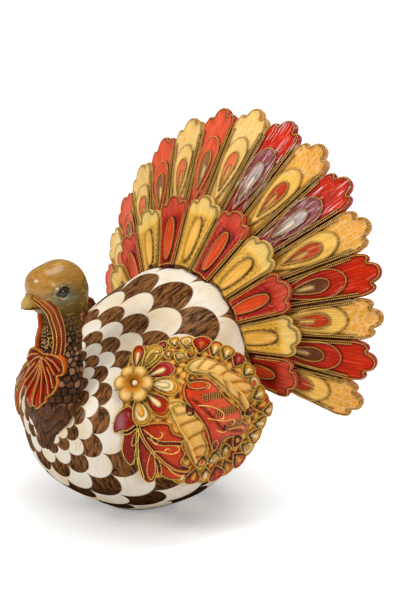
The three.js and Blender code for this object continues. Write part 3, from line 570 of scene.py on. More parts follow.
def feather_outline(radius, step, tip_depth, root):
    """Outline of a feather, across and down from its tip, and its half width by the place along it."""
    half = lambda s: (radius - s) * math.cos(FAN_CONE) * step / 2 - FEATHER_GAP / 16
    fine = np.linspace(0, len(TIP) - 1, 60)
    across = np.interp(fine, np.arange(len(TIP)), TIP[:, 0])
    drop = np.interp(fine, np.arange(len(TIP)), TIP[:, 1]) * tip_depth
    tip = np.stack([across * half(drop), drop], 1)
    last = tip[-1, 1]
    edge_s = np.linspace(last, root(1.0), 60)[1:]
    right = np.concatenate([tip, np.stack([half(edge_s), edge_s], 1)])
    bottom_u = np.linspace(1, 0, 8)[1:]
    bottom = np.stack([bottom_u * half(root(bottom_u)), root(bottom_u)], 1)
    right = np.concatenate([right, bottom])
    left = right[1:-1][::-1] * [-1, 1]
    return np.concatenate([right, left]), half


def root_finder(angle, radius, step, point_at):
    """How far down from its tip a feather enters the body, by place across it."""
    shares = np.linspace(-1, 1, 15)
    radii = np.linspace(radius - 25, 52, 160)
    spots = point_at(angle + shares[:, None] * step / 2, radii[None, :] + 0 * shares[:, None], 0.0)
    within = inside_body(spots, -1.5)
    first = np.where(within.any(1), within.argmax(1), len(radii) - 1)
    found = np.maximum(radius - radii[first], 30)
    both = np.maximum(found, found[::-1])
    return lambda u: np.interp(np.abs(u), shares[7:], both[7:])


def feather_form(index, middle, step, full_radius, shortening, tip_depth, point_at):
    """Angle, radius and root of a feather, its outline and its half width; the middle one is the longest."""
    angle = (middle - index) * step
    radius = full_radius * (1 - shortening * (1 - math.cos(angle)))
    root = root_finder(angle, radius, step, point_at)
    return angle, radius, root, *feather_outline(radius, step, tip_depth, root)


def feather_beads(soup, outline, surface, root, insets, second_row_start, ornaments):
    """Two rows of beads inside the edge, the second from a start down, and one round each ornament."""
    lowest = root(0.0) - 2
    seen = lambda line: line[:, 1] < lowest
    beads(soup, inset(outline, insets[0]), surface, ROW_PITCH, GOLD_BEAD, keep=seen)
    beads(soup, inset(outline, insets[1]), surface, ROW_PITCH, GOLD_BEAD,
          keep=lambda line: seen(line) & (line[:, 1] > second_row_start))
    for curve in ornaments:
        beads(soup, curve, surface, RING_PITCH, GOLD_BEAD, keep=seen)


OUTER_LOOKS = {
    "gold": dict(tip=rgb(244, 168, 62), field=rgb(240, 176, 66), root=rgb(214, 148, 40), tear=rgb(250, 196, 92),
                 drop=rgb(196, 62, 22), quill=rgb(228, 178, 92), side=rgb(240, 146, 66)),
    "red": dict(tip=rgb(208, 46, 10), field=rgb(190, 36, 14), root=rgb(146, 32, 20), tear=rgb(186, 40, 18),
                drop=rgb(104, 56, 30), quill=rgb(228, 188, 112), side=rgb(214, 82, 68)),
}
# A dark brown for the grooves, rims and gaps between parts: partly dark paint settled there, partly painted shade
WASH_AND_SHADE = rgb(40, 14, 5)


def outer_looks(index):
    """Colours of an outer feather: the two in silver and the far half's paler ones differ."""
    look = dict(OUTER_LOOKS["gold" if index % 2 else "red"])
    if index % 2 and index > 8:
        look.update(tip=rgb(255, 204, 112), field=rgb(255, 212, 128), tear=rgb(255, 208, 122), drop=rgb(240, 118, 74))
    if index in (6, 8):
        look.update(tip=rgb(216, 48, 18), field=rgb(190, 50, 40), tear=rgb(146, 74, 76), drop=rgb(196, 172, 166),
                    quill=rgb(250, 232, 200))
    if index % 2 == 0 and index > 9:
        look.update(tip=rgb(240, 96, 60), field=rgb(236, 92, 58), root=rgb(190, 60, 40), tear=rgb(232, 92, 60),
                    drop=rgb(156, 104, 66), quill=rgb(240, 204, 142))
    return look


def outer_feather(index, material, slot):
    """A feather with a teardrop, a drop in it and a quill in that."""
    angle, radius, root, outline, _ = feather_form(
        index, 9, OUTER_STEP, OUTER_RADIUS, OUTER_SHORTENING, OUTER_TIP_DEPTH, fan_point)
    tear, drop, quill = teardrop(*TEAR), teardrop(*DROP), teardrop(*QUILL)
    ring = even(outline, 1.35)

    def relief(points):
        edge = -distance(points, ring)
        first, second, third = (distance(points, curve) for curve in (tear, drop, quill))
        height = -2.4 * rounded(edge, 2.2) - 1.1 * ease(edge, 4.2, 6.2)
        height = height + 1.9 * ease(-first, -1.6, 0.2) - 0.9 * ease(-first, 0.2, 3.2)
        height = height + 1.6 * ease(-second, -1.4, 0.2) - 0.8 * ease(-second, 0.2, 1.8)
        height = height - 1.0 * ease(-third, -0.6, 0.6)
        return height, edge, first, second, third

    def place(across, along, height):
        here = radius - along
        return fan_point(angle + across / (here * math.cos(FAN_CONE)), here, height)

    points, triangles = patch(outline, [(tear, True), (drop, True), (quill, True)], 1.5)
    height, edge, first, second, third = relief(points)
    look = outer_looks(index)
    along = points[:, 1]
    paint = mixed(look["tip"], look["field"], ease(along, 12, 42))
    paint = mixed(paint, look["root"], ease(along, 60, 120))
    paint = mixed(paint, look["side"], 0.8 * (1 - ease(edge, 0.6, 1.8)) * (1 - ease(along, 14, 24)))
    paint = mixed(paint, look["tear"], ease(-first, -0.5, 0.5))
    paint = mixed(paint, look["drop"], ease(-second, -0.5, 0.5))
    paint = mixed(paint, look["quill"], ease(-third, -0.5, 0.3))
    double = (along > SECOND_ROW_START) * 1.0
    # Dark round the teardrop, drop and quill, along the bead rows, in the gaps between feathers and towards the root:
    # partly dark paint, partly painted shade
    wash_and_shade = bell(edge, 2.1, 1.2) + double * bell(edge, 4.3, 1.2)
    wash_and_shade = wash_and_shade + 0.9 * bell(first, 0.6, 1.1) + 0.95 * bell(second, 0.5, 1.0) + 0.75 * bell(third, 0.4, 0.7)
    wash_and_shade = wash_and_shade + 0.35 * ease(along, 95, 140) + double * (1 - ease(edge, 0.5, 1.3))
    paint = mixed(paint, WASH_AND_SHADE, np.minimum(wash_and_shade, 0.96))
    soup = Soup()
    back = -OUTER_THICKNESS + 1.6 * rounded(edge, 4) - 0.5 * bell(points[:, 0], 0, 2)
    tile(soup, points, triangles, place(*points.T, height), place(*points.T, back),
         paint, mixed(look["root"], WASH_AND_SHADE, 0.25 + 0 * along), sheet(points, 41.0 * index))
    feather_beads(soup, outline, over(place, relief), root, (1.7, 3.7), SECOND_ROW_START, (tear, drop))
    soup.build(f"tail_outer_{index:02d}", material, slot, [f"outer_feather_{index:02d}"])


INNER_LOOKS = {
    "red": dict(tip=rgb(222, 84, 60), field=rgb(194, 44, 26), root=rgb(150, 28, 16), oval=rgb(228, 78, 34)),
    "gold": dict(tip=rgb(255, 216, 124), field=rgb(255, 192, 70), root=rgb(228, 162, 46), oval=rgb(255, 190, 84)),
}


def inner_feather(index, material, slot):
    """A feather with an oval and ruffles beside it."""
    angle, radius, root, outline, half = feather_form(
        index, 6, INNER_STEP, INNER_RADIUS, INNER_SHORTENING, INNER_TIP_DEPTH, inner_point)
    t = np.linspace(0, 2 * np.pi, 70)[:-1]
    oval = np.stack([OVAL_HALF_WIDTH * np.sin(t) * (1 - 0.16 * np.cos(t + np.pi)),
                     OVAL_MIDDLE - OVAL_HALF_LENGTH * np.cos(t)], 1)
    ring = even(outline, 1.3)

    def relief(points):
        edge = -distance(points, ring)
        first = distance(points, oval)
        across, along = np.abs(points[:, 0]), points[:, 1]
        height = -2.2 * rounded(edge, 2.0) - 0.9 * ease(edge, 3.8, 5.4)
        height = height + 1.8 * ease(-first, -1.5, 0.2) - 0.7 * ease(-first, 0.2, 2.4)
        for share, size in ((0.52, 1.2), (0.7, 1.0)):
            crest = share * half(along) + 1.0 * np.sin(along * 1.15 + 3 * share)
            ruffle = size * bell(across, crest, 1.0) * ease(along, 14, 20) * ease(first, 0.8, 2.2)
            height = height + ruffle
        return height + 2.2 * ease(-along, -15, 0), edge, first

    def face(along):
        """How far the front stands over the outer feathers."""
        return 1.4 + 9.1 * ((radius - along) / INNER_RADIUS) ** 2

    def place(across, along, height):
        here = radius - along
        return inner_point(angle + across / (here * math.cos(FAN_CONE)), here, face(along) + height)

    points, triangles = patch(outline, [(oval, True)], 1.35)
    height, edge, first = relief(points)
    look = INNER_LOOKS["red" if index % 2 else "gold"]
    along = points[:, 1]
    paint = mixed(look["tip"], look["field"], ease(along, 8, 24))
    paint = mixed(paint, look["root"], ease(along, 50, 80))
    paint = mixed(paint, look["oval"], ease(-first, -0.5, 0.5))
    # Dark round the oval, in the ruffles' valleys, along the bead rows and in the gaps between feathers: partly dark
    # paint, partly painted shade
    wash_and_shade = bell(edge, 2.1, 1.2) + 0.9 * bell(first, 0.6, 1.1)
    valley = (1 - ease(height, -1.3, 0.2)) * ease(edge, 3, 5) * ease(first, 0.5, 1.5)
    wash_and_shade = wash_and_shade + 0.65 * valley * ease(along, 16, 24)
    wash_and_shade = wash_and_shade + ease(along, 14, 18) * (1 - ease(edge, 0.5, 1.3))
    paint = mixed(paint, WASH_AND_SHADE, np.minimum(wash_and_shade, 0.96))
    thickness = face(along) - (SEAT_GAP + 4.0 * ((radius - along) / INNER_RADIUS) ** 2)
    soup = Soup()
    front = place(*points.T, height)
    back = place(*points.T, -thickness + 0.8 * rounded(edge, 3))
    tile(soup, points, triangles, front, back, paint, mixed(look["root"], WASH_AND_SHADE, 0.3 + 0 * along),
         sheet(points, 500 + 37.0 * index))
    feather_beads(soup, outline, over(place, relief), root, (1.6, 3.5), INNER_SECOND_ROW_START, [oval])
    soup.build(f"tail_inner_{index:02d}", material, slot, [f"inner_feather_{index:02d}"])


feather_paints = {
    "outer_gold": painted("outer_gold_paint", streak=0.4, streaks_and_sheen=0.3, streak_and_sheen_colour=rgb(255, 232, 170),
                          crackle=0.4),
    "outer_red": painted("outer_red_paint", streak=0.6, streaks_and_sheen=0.3, streak_and_sheen_colour=rgb(236, 132, 104)),
    "outer_silver": painted("outer_silver_paint", streak=1.0, streaks_and_sheen=0.95, streak_and_sheen_colour=rgb(240, 226, 226)),
    "inner_rose": painted("inner_rose_paint", streak=0.6, streaks_and_sheen=0.3, streak_and_sheen_colour=rgb(236, 140, 112)),
    "inner_amber": painted("inner_amber_paint", streak=0.45, streaks_and_sheen=0.3, streak_and_sheen_colour=rgb(255, 234, 176)),
}
for index in range(1, 18):
    slot = "outer_gold" if index % 2 else "outer_red"
    outer_feather(index, feather_paints["outer_silver" if index in (6, 8) else slot], slot)
for index in range(1, 12):
    slot = "inner_rose" if index % 2 else "inner_amber"
    inner_feather(index, feather_paints[slot], slot)


# Body: how many scallops go round it, and their width over the pace of the rows
SCALLOPS_ROUND, SCALLOP_SHARE = 14.0, 1.9


def enamel():
    """Ivory and brown enamel in rows of scallops that run from the breast to the tail, brushed and glossy."""
    net = Net("scalloped_enamel")
    place = net.attribute("local", "Vector")
    offset = net.vector("SUBTRACT", place, tuple(BODY_CENTRE))
    fore = unit([0, -1, 0.12])
    side, up = np.array([1.0, 0, 0]), np.cross(fore, [1.0, 0, 0])
    ahead = net.vector("DOT_PRODUCT", net.vector("NORMALIZE", offset), tuple(fore))
    right = net.vector("DOT_PRODUCT", offset, tuple(side))
    over = net.vector("DOT_PRODUCT", offset, tuple(up))
    turn = net.times(net.math("ARCTAN2", right, over), SCALLOPS_ROUND / (2 * math.pi))
    polar = net.math("ARCCOSINE", ahead)
    run = net.math("LOGARITHM", net.math("TANGENT", net.times(polar, 0.5)), math.e)
    run = net.times(run, SCALLOPS_ROUND / (2 * math.pi) * SCALLOP_SHARE)
    # Kept above zero, so that whole numbers count the rows and columns
    turn = net.math("ADD", turn, 100.0)
    run = net.math("ADD", run, 100.0)
    # A scallop hangs from each row: its round end lies over the row behind it
    row = net.math("FLOOR", run)
    within = net.less(run, row)
    half = net.times(net.math("FLOORED_MODULO", row, 2.0), 0.5)
    column = net.math("ADD", turn, half)
    x = net.less(net.math("FLOORED_MODULO", column, 1.0), 0.5)
    # Reach of the scallop's round end at this place across it
    reach = net.math("SQRT", net.math("MAXIMUM", net.less(0.25, net.times(x, x)), 0.0))
    reach = net.times(reach, 2.0)
    own = net.math("LESS_THAN", within, reach)
    # Where the point lies past this row's ends it belongs to the row behind
    level = net.less(row, own)
    parity = net.math("FLOORED_MODULO", level, 2.0)
    edge = net.math("ABSOLUTE", net.less(within, reach))
    # Brush marks
    strokes = net.noise(net.scaled(place, (0.5, 0.08, 0.1)), 1.0, 4.0, 0.6, 0.6)
    fine = net.noise(net.scaled(place, (1.6, 0.2, 0.25)), 1.0, 3.0)
    broad = net.noise(net.scaled(place, (0.03, 0.03, 0.03)), 1.0, 2.0)
    ivory = net.blend(net.span(broad, 0.35, 0.75), rgb(248, 238, 220), rgb(240, 218, 180))
    ivory = net.blend(net.times(net.span(strokes, 0.55, 0.72), 0.55), ivory, rgb(214, 172, 112))
    brown = net.blend(net.span(strokes, 0.36, 0.66), rgb(50, 25, 10), rgb(156, 104, 58))
    brown = net.blend(net.times(net.span(fine, 0.58, 0.72), 0.5), brown, rgb(196, 156, 120))
    # The brown goes darker towards the underside: painted shade
    level = net.vector("DOT_PRODUCT", place, (0, 0, 1))
    low = net.less(1.0, net.span(level, 24.0, 96.0))
    brown = net.blend(net.times(low, 0.85), brown, rgb(30, 13, 5))
    colour = net.blend(parity, ivory, brown)
    line = net.less(1.0, net.span(edge, 0.02, 0.06))
    colour = net.blend(net.times(line, 0.35), colour, rgb(104, 70, 46))
    # The rows close on a plain round spot under the tail
    colour = net.blend(net.span(polar, 2.87, 2.9), colour, brown)
    rough = net.span(strokes, 0.2, 0.8, 0.24, 0.16)
    return net.finish(colour, rough, net.bump(strokes, 0.12, 0.0005), 0.0,
                      net.span(level, 45.0, 110.0, 0.0, 0.07), 0.15, 0.0)


def body():
    """The round casting, with its underside and casting hole."""
    rows, columns = 110, 144
    share = 1 - np.cos(np.linspace(0, np.pi, rows)) * 0.5 - 0.5
    angle = full_turn(columns)
    half_width, centre, half_depth = section(share)
    x = half_width[:, None] * np.cos(angle)
    y = centre[:, None] + half_depth[:, None] * np.sin(angle)
    z = np.repeat((BASE_HEIGHT + BODY_HEIGHT * share)[:, None], columns, 1)
    skin = np.stack([x, y, z], -1)
    # Underside: a ring in to the casting hole, whose wall goes up to a ceiling over the plug
    hole = np.stack([HOLE_RADIUS * np.cos(angle), HOLE_RADIUS * np.sin(angle), np.full(columns, BASE_HEIGHT)], 1)
    top = hole + [0, 0, HOLE_DEPTH]
    middle = np.repeat([[0, 0, BASE_HEIGHT + HOLE_DEPTH]], columns, 0)
    rings = np.concatenate([middle[None], top[None], hole[None], skin])
    soup = Soup()
    soup.add(rings, [grid_faces(len(rings), columns, True)], rgb(233, 220, 198))
    soup.build("body_casting", enamel(), "body_enamel", ["body_shell"])


body()


# Head, eyes and beak
def ray_reach(centre, directions, inside):
    """How far each direction runs from a centre until it leaves a form."""
    near, limit = np.zeros(len(directions)), np.full(len(directions), 90.0)
    for _ in range(24):
        middle = (near + limit) / 2
        within = inside(centre + directions * middle[:, None]) < 0
        near, limit = np.where(within, middle, near), np.where(within, limit, middle)
    return near


def joined(first, second, reach):
    """The union of two distance fields with a soft inside corner."""
    share = np.clip(0.5 + 0.5 * (second - first) / reach, 0, 1)
    return second + (first - second) * share - reach * share * (1 - share)


EYE_RADIUS = 7.2
LID_RADIUS = 8.1
THROAT_RADIUS = 16.8
EYE_ACROSS = math.sqrt(1 - (9 / 33) ** 2 - (4.5 / 27) ** 2)
EYE = HEAD + [22 * EYE_ACROSS - (EYE_RADIUS - 3), -9, 4.5]


def neck_line(z):
    """Reach of the neck's middle, half width and half depth at a height; the crop swells out over the breast."""
    drop = np.clip((NECK_TOP - z) / NECK_LENGTH, 0, 1)
    swell = CROP_SWELL * bell(z, CROP_SWELL_HEIGHT, CROP_SWELL_SPREAD)
    return (NECK_REACH * smooth(NECK_DROPS, NECK_REACHES, drop) + swell,
            CROP_HALF_WIDTH * smooth(NECK_DROPS, NECK_WIDTHS, drop),
            CROP_HALF_DEPTH * smooth(NECK_DROPS, NECK_DEPTHS, drop))


def oval_point(z, turn, grow, height, half_width, half_depth, reach):
    """A point off an oval ring: turn is zero at the front, grow widens the ring, height runs along its normal."""
    wide, deep = half_width + grow, half_depth + grow
    normal = np.stack([np.sin(turn) / wide, -np.cos(turn) / deep, 0 * turn], -1)
    spot = np.stack([wide * np.sin(turn), -reach - deep * np.cos(turn), z + 0 * turn], -1)
    return spot + unit(normal) * np.asarray(height)[..., None]


def head_form(points):
    """Distance of points from the head's form, below zero inside."""
    place = points - HEAD
    lump = lambda middle, halves, scale: (np.linalg.norm((place - middle) / halves, axis=1) - 1) * scale
    skull = lump([0, 1.5, 0], [22, 28.5, 27], 24)
    brow = lump([0, -13.5, 8], [17.5, 16, 15], 16)
    throat = np.hypot(points[:, 0], points[:, 1] + NECK_REACH * NECK_REACHES[0]) - THROAT_RADIUS
    throat = np.maximum(throat, points[:, 2] - HEAD[2] + 6)
    nape = lump([0, 9, -10], [15, 17, 20], 15)
    form = joined(joined(joined(skull, brow, 5), nape, 8), throat, 12)
    # The chin falls away under the beak
    chin = (place - [0, -23, -10.6]) @ np.array([0, -0.743, -0.669])
    form = -joined(-form, -chin, 4)
    return np.maximum(form, NECK_TOP + SEAT_GAP - points[:, 2])


def eye_frame(points):
    """Place of points seen from the side, forward and up from the eye's middle, and their distance from it."""
    offset = points - EYE
    tilt = math.radians(-8)
    ahead, up = -offset[:, 1], offset[:, 2]
    return (ahead * math.cos(tilt) + up * math.sin(tilt), up * math.cos(tilt) - ahead * math.sin(tilt),
            np.linalg.norm(offset, axis=1))


def head():
    """Skull, brow, throat and lids as one skin round the head's middle."""
    rows, columns = 150, 200
    polar = np.linspace(0.004, np.pi - 0.004, rows)
    turn = full_turn(columns)
    directions = np.stack([np.sin(polar)[:, None] * np.cos(turn), np.sin(polar)[:, None] * np.sin(turn),
                           np.repeat(np.cos(polar)[:, None], columns, 1)], -1).reshape(-1, 3)
    reach = ray_reach(HEAD, directions, head_form)
    fold_way = directions.copy()
    fold_way[:, 0] = np.abs(fold_way[:, 0])
    # Lids: a shell just over the eyeball with an almond opening
    middle = ((EYE - HEAD) * fold_way).sum(1)
    off = ((EYE - HEAD) ** 2).sum() - middle ** 2
    lid = np.where((off < LID_RADIUS ** 2) & (middle > 0), middle + np.sqrt(np.maximum(LID_RADIUS ** 2 - off, 0)), 0)
    shell = HEAD + fold_way * np.maximum(reach, lid)[:, None]
    ahead, up, _ = eye_frame(shell)
    almond = np.abs(up - 0.8) / (4.8 * np.maximum(1 - (ahead / 7.2) ** 2, 0.02))
    socket = np.sqrt((ahead / 9.5) ** 2 + (up / 6.8) ** 2)
    wanted = np.maximum(reach, lid)
    wanted = wanted + 0.7 * bell(almond, 1.25, 0.3) * (socket < 1.2) * (np.abs(ahead) < 8) * (lid > 0)
    open_eye = (almond < 1) & (socket < 1) & (lid > 0)
    wanted = np.where(open_eye, np.minimum(wanted, lid - 2.6), wanted)
    points = HEAD + directions * wanted[:, None]
    fold = points.copy()
    fold[:, 0] = np.abs(fold[:, 0])
    ahead, up, _ = eye_frame(fold)
    height = points[:, 2] - HEAD[2]
    front = HEAD[1] - points[:, 1]
    olive, ochre, dark = rgb(112, 88, 36), rgb(184, 132, 54), rgb(58, 40, 14)
    paint = mixed(olive, ochre, ease(height + 0.35 * front, -4, 19))
    paint = mixed(paint, rgb(118, 112, 70), 0.75 * (1 - ease(np.hypot(ahead / 15, (up + 2) / 11), 0.5, 1.0)))
    paint = mixed(paint, rgb(104, 80, 34), 0.5 * (1 - ease(front, -30, -18)))
    paint = mixed(paint, dark, 0.7 * (1 - ease(height, -22, -8)) * (1 - ease(front, 4, 20)))
    root = np.hypot(np.abs(points[:, 0]) / 14, (points[:, 2] - 219) / 11)
    paint = mixed(paint, rgb(78, 66, 36), 0.75 * (1 - ease(root, 0.7, 1.2)) * ease(front, 14, 24))
    rim = bell(almond, 1.15, 0.32) * (socket < 1.15)
    paint = mixed(paint, mixed(rgb(78, 84, 66), rgb(222, 212, 184), 1 - ease(up, -3.2, -1.2)), 0.9 * rim)
    paint = mixed(paint, rgb(28, 20, 14), 0.9 * open_eye)
    soup = Soup()
    local = points[:, ::-1]
    soup.add(points, [grid_faces(rows, columns, True)], paint, local)
    soup.cap(0, columns, HEAD + [0, 0, reach[:columns].mean()], paint[0], local[0], turned=True)
    soup.cap((rows - 1) * columns, columns, HEAD - [0, 0, reach[-columns:].mean()], paint[-1], local[-1])
    material = painted("head_paint", 0.5, 0.07, 0.6, 0.22, coat=2.4, bump=0.12, softness=0.2, shine_over=214.0,
                       streaks_and_sheen=0.4, streak_and_sheen_colour=rgb(218, 170, 84))
    soup.build("head_casting", material, "head_olive", ["head"], flip=True)


def eye_material():
    """A dark brown iris round a black pupil, under glass."""
    net = Net("glass_eye")
    place = net.attribute("local", "Vector")
    ring = net.vector("LENGTH", net.scaled(place, (0, 1, 1)))
    fibres = net.noise(net.scaled(place, (0.2, 1.6, 1.6)), 1.2, 4.0)
    iris = net.blend(fibres, rgb(30, 16, 8), rgb(82, 50, 22))
    iris = net.blend(net.span(ring, 3.8, 4.8), iris, rgb(10, 6, 4))
    colour = net.blend(net.span(ring, 2.4, 2.8), rgb(4, 3, 3), iris)
    return net.finish(colour, 0.06, None, 0.0, 0.2, 0.02, 0.4)


def eye(side, material):
    """A ball with a bulged cornea, turned to the side."""
    rows, columns = 40, 48
    polar = np.linspace(0.001, np.pi - 0.001, rows)[:, None]
    turn = full_turn(columns)[None]
    ball = np.stack([np.cos(polar) + 0 * turn, np.sin(polar) * np.cos(turn), np.sin(polar) * np.sin(turn)], -1)
    bulge = 1 + 0.035 * bell(polar, 0, 0.5)
    local = ball * EYE_RADIUS * bulge[..., None]
    points = local * [side, 1, 1] + EYE * [side, 1, 1]
    soup = Soup()
    soup.add(points, [grid_faces(rows, columns, True)], rgb(40, 26, 16), local)
    name = "left" if side > 0 else "right"
    soup.build(f"{name}_eyeball", material, "eye_dark", [f"{name}_eye"], flip=side < 0)


def beak(upper, material):
    """One half of the beak: rings from its root to its tip, cut flat at the mouth."""
    rows, columns = 34, 40
    run = np.linspace(0, 1, rows)
    turn = full_turn(columns)
    root = -(HEAD[1] - 23)
    mouth = HEAD[2] - 9
    stations = [0, 0.4, 0.72, 0.92, 1]
    if upper:
        size = 8 * smooth(stations, [1, 0.85, 0.58, 0.28, 0.02], run)
        drop = 8 * smooth(stations, [0, -0.06, 0.08, 0.3, 0.52], run)
        length, base = 15.6, HEAD[2] - 4.5
        tall = size
    else:
        size = 6.5 * smooth(stations, [1, 0.82, 0.5, 0.24, 0.02], run)
        drop = 0 * run
        length, base, tall = 13.8, mouth, size * 3.6 / 6.5
    across = size[:, None] * np.cos(turn)
    ridge = 1 + (0.1 * bell(turn, np.pi / 2, 0.35) if upper else 0 * turn)
    rise = base - drop[:, None] + tall[:, None] * np.sin(turn) * ridge
    rise = np.maximum(rise, mouth) if upper else np.minimum(rise, mouth - SEAT_GAP)
    reach = -(root + length * run)[:, None] + 0 * across
    if upper:
        nostril = np.exp(-((np.abs(across) - 4.6) / 1.0) ** 2 - ((run[:, None] - 0.42) / 0.09) ** 2)
        across = across * (1 - 0.16 * nostril)
    points = np.stack([across, reach, rise], -1)
    start = points[0] + [0, 9, 0]
    points = np.concatenate([start[None] * [0.6, 1, 1], points])
    horn, tip, dark = rgb(172, 132, 60), rgb(206, 170, 96), rgb(92, 64, 32)
    share = np.concatenate([[0], run])[:, None] + 0 * points[..., 0]
    paint = mixed(horn, tip, ease(share, 0.35, 0.95))
    # Painted shade where the beak meets the head and along the mouth line
    paint = mixed(paint, dark, 0.7 * (1 - ease(share, 0.0, 0.3)))
    edge = np.abs(points[..., 2] - mouth)
    paint = mixed(paint, dark, 0.65 * (1 - ease(edge, 0.2, 1.6)))
    if upper:
        paint[1:] = mixed(paint[1:], rgb(52, 36, 20), 0.8 * nostril)
    soup = Soup()
    soup.add(points, [grid_faces(rows + 1, columns, True)], paint.reshape(-1, 3),
             points.reshape(-1, 3)[:, [0, 2, 1]])
    name = "upper" if upper else "lower"
    soup.build(f"{name}_beak_horn", material, "beak_horn", [f"{name}_beak"], flip=True)


# Snood, wattle and neck
ORANGE, MAROON = rgb(190, 64, 16), rgb(116, 22, 10)
FINE_BEAD = rgb(240, 192, 92)
SNOOD_END = HEAD[2] + 2 - 54.5


def snood():
    """A band over the beak's root that hangs down both cheeks."""
    near = np.array([[0, -133.6, 227], [6, -133.2, 225.6], [11.2, -129.6, 221], [13.4, -123.6, 213.5],
                     [11.6, -118.6, 204], [12.2, -116.4, 193], [13.4, -117.2, 182.5], [13.5, -119, SNOOD_END]])
    far = np.array([[6, -133.2, 225.6], [11, -128.6, 221], [13.2, -120.5, 214], [12.6, -115, 207],
                    [11.2, -116.4, 200], [9.8, -117.8, 192.5], [12.6, -118.4, 184], [13.5, -119.2, SNOOD_END]])
    path = spline(np.concatenate([far[::-1] * [-1, 1, 1], near]), 24, closed=False)
    path = even(path, 1.0, closed=False)
    along = unit(np.gradient(path, axis=0))
    axis = np.stack([0 * path[:, 0], np.full(len(path), HEAD[1]),
                     np.interp(path[:, 2], [170, 206, 229], [170, 206, 206])], 1)
    out = path - axis
    out = unit(out - along * (out * along).sum(1, keepdims=True))
    across = np.cross(along, out)
    top = ease(path[:, 2], 208, 228)
    low = ease(-path[:, 2], -195, -176)
    width = np.interp(path[:, 2], [173, 190, 205, 216, 224, 229], [5.5, 5.8, 6.3, 5.8, 4.8, 3.7])
    face_count = 25
    sides = np.concatenate([np.linspace(-1, 1, face_count), np.linspace(0.9, -0.9, 7)])
    outer = np.arange(len(sides)) < face_count
    ridge = 0.55 * bell(np.abs(sides), 0.8, 0.13) - 0.5 * bell(np.abs(sides), 0.45, 0.16)
    lift = np.where(outer, 2.7 * (1 - np.abs(sides) ** 5) + ridge + 0.35 * bell(sides, 0, 0.2), -2.6)
    points = (path[:, None] + across[:, None] * (width[:, None] * sides)[..., None]
              + out[:, None] * (lift + 0.25)[None, :, None])
    share = np.abs(sides)[None, :] + 0 * points[..., 0]
    colour = mixed(ORANGE, MAROON, (0.45 + 0.5 * low[:, None]) * (1 - ease(share, 0.55, 0.85)) + 0 * share)
    colour = mixed(colour, rgb(226, 126, 44), 0.6 * top[:, None] * (1 - share))
    # Two dark lines along each half of the band: partly dark paint, partly painted shade
    for line in (0.3, 0.72):
        colour = mixed(colour, WASH_AND_SHADE, 0.85 * bell(share, line, 0.09))
    soup = Soup()
    local = np.stack([share * 5, np.arange(len(path))[:, None] + 0 * share, 0 * share], -1)
    soup.add(points, [grid_faces(len(path), len(sides), True)], colour.reshape(-1, 3), local)
    for end_row in (0, len(path) - 1):
        soup.cap(end_row * len(sides), len(sides), points[end_row].mean(0), MAROON, turned=end_row == 0)

    def place(row, side, height):
        row = np.clip(row, 0, len(path) - 1)
        at = lambda table: np.stack([np.interp(row, np.arange(len(path)), table[:, k]) for k in range(3)], 1)
        wide = np.interp(row, np.arange(len(path)), width)
        level = np.interp(side / 10, sides[:face_count], lift[:face_count])
        return at(path) + at(across) * (wide * side / 10)[:, None] + at(out) * (level + 0.25 + height)[:, None]

    rows = np.arange(0.0, len(path) - 1, 0.25)
    for side in (-9.2, -3.2, 4.0, 9.2):
        beads(soup, np.stack([rows, np.full(len(rows), side)], 1), place, 1.45, FINE_BEAD, closed=False)
    soup.build("snood_band", painted("snood_paint", 1.2, 0.12, 0.35, 0.26, coat=0.6), "snood_orange",
                      ["snood"])


SCALES_ROUND = 22


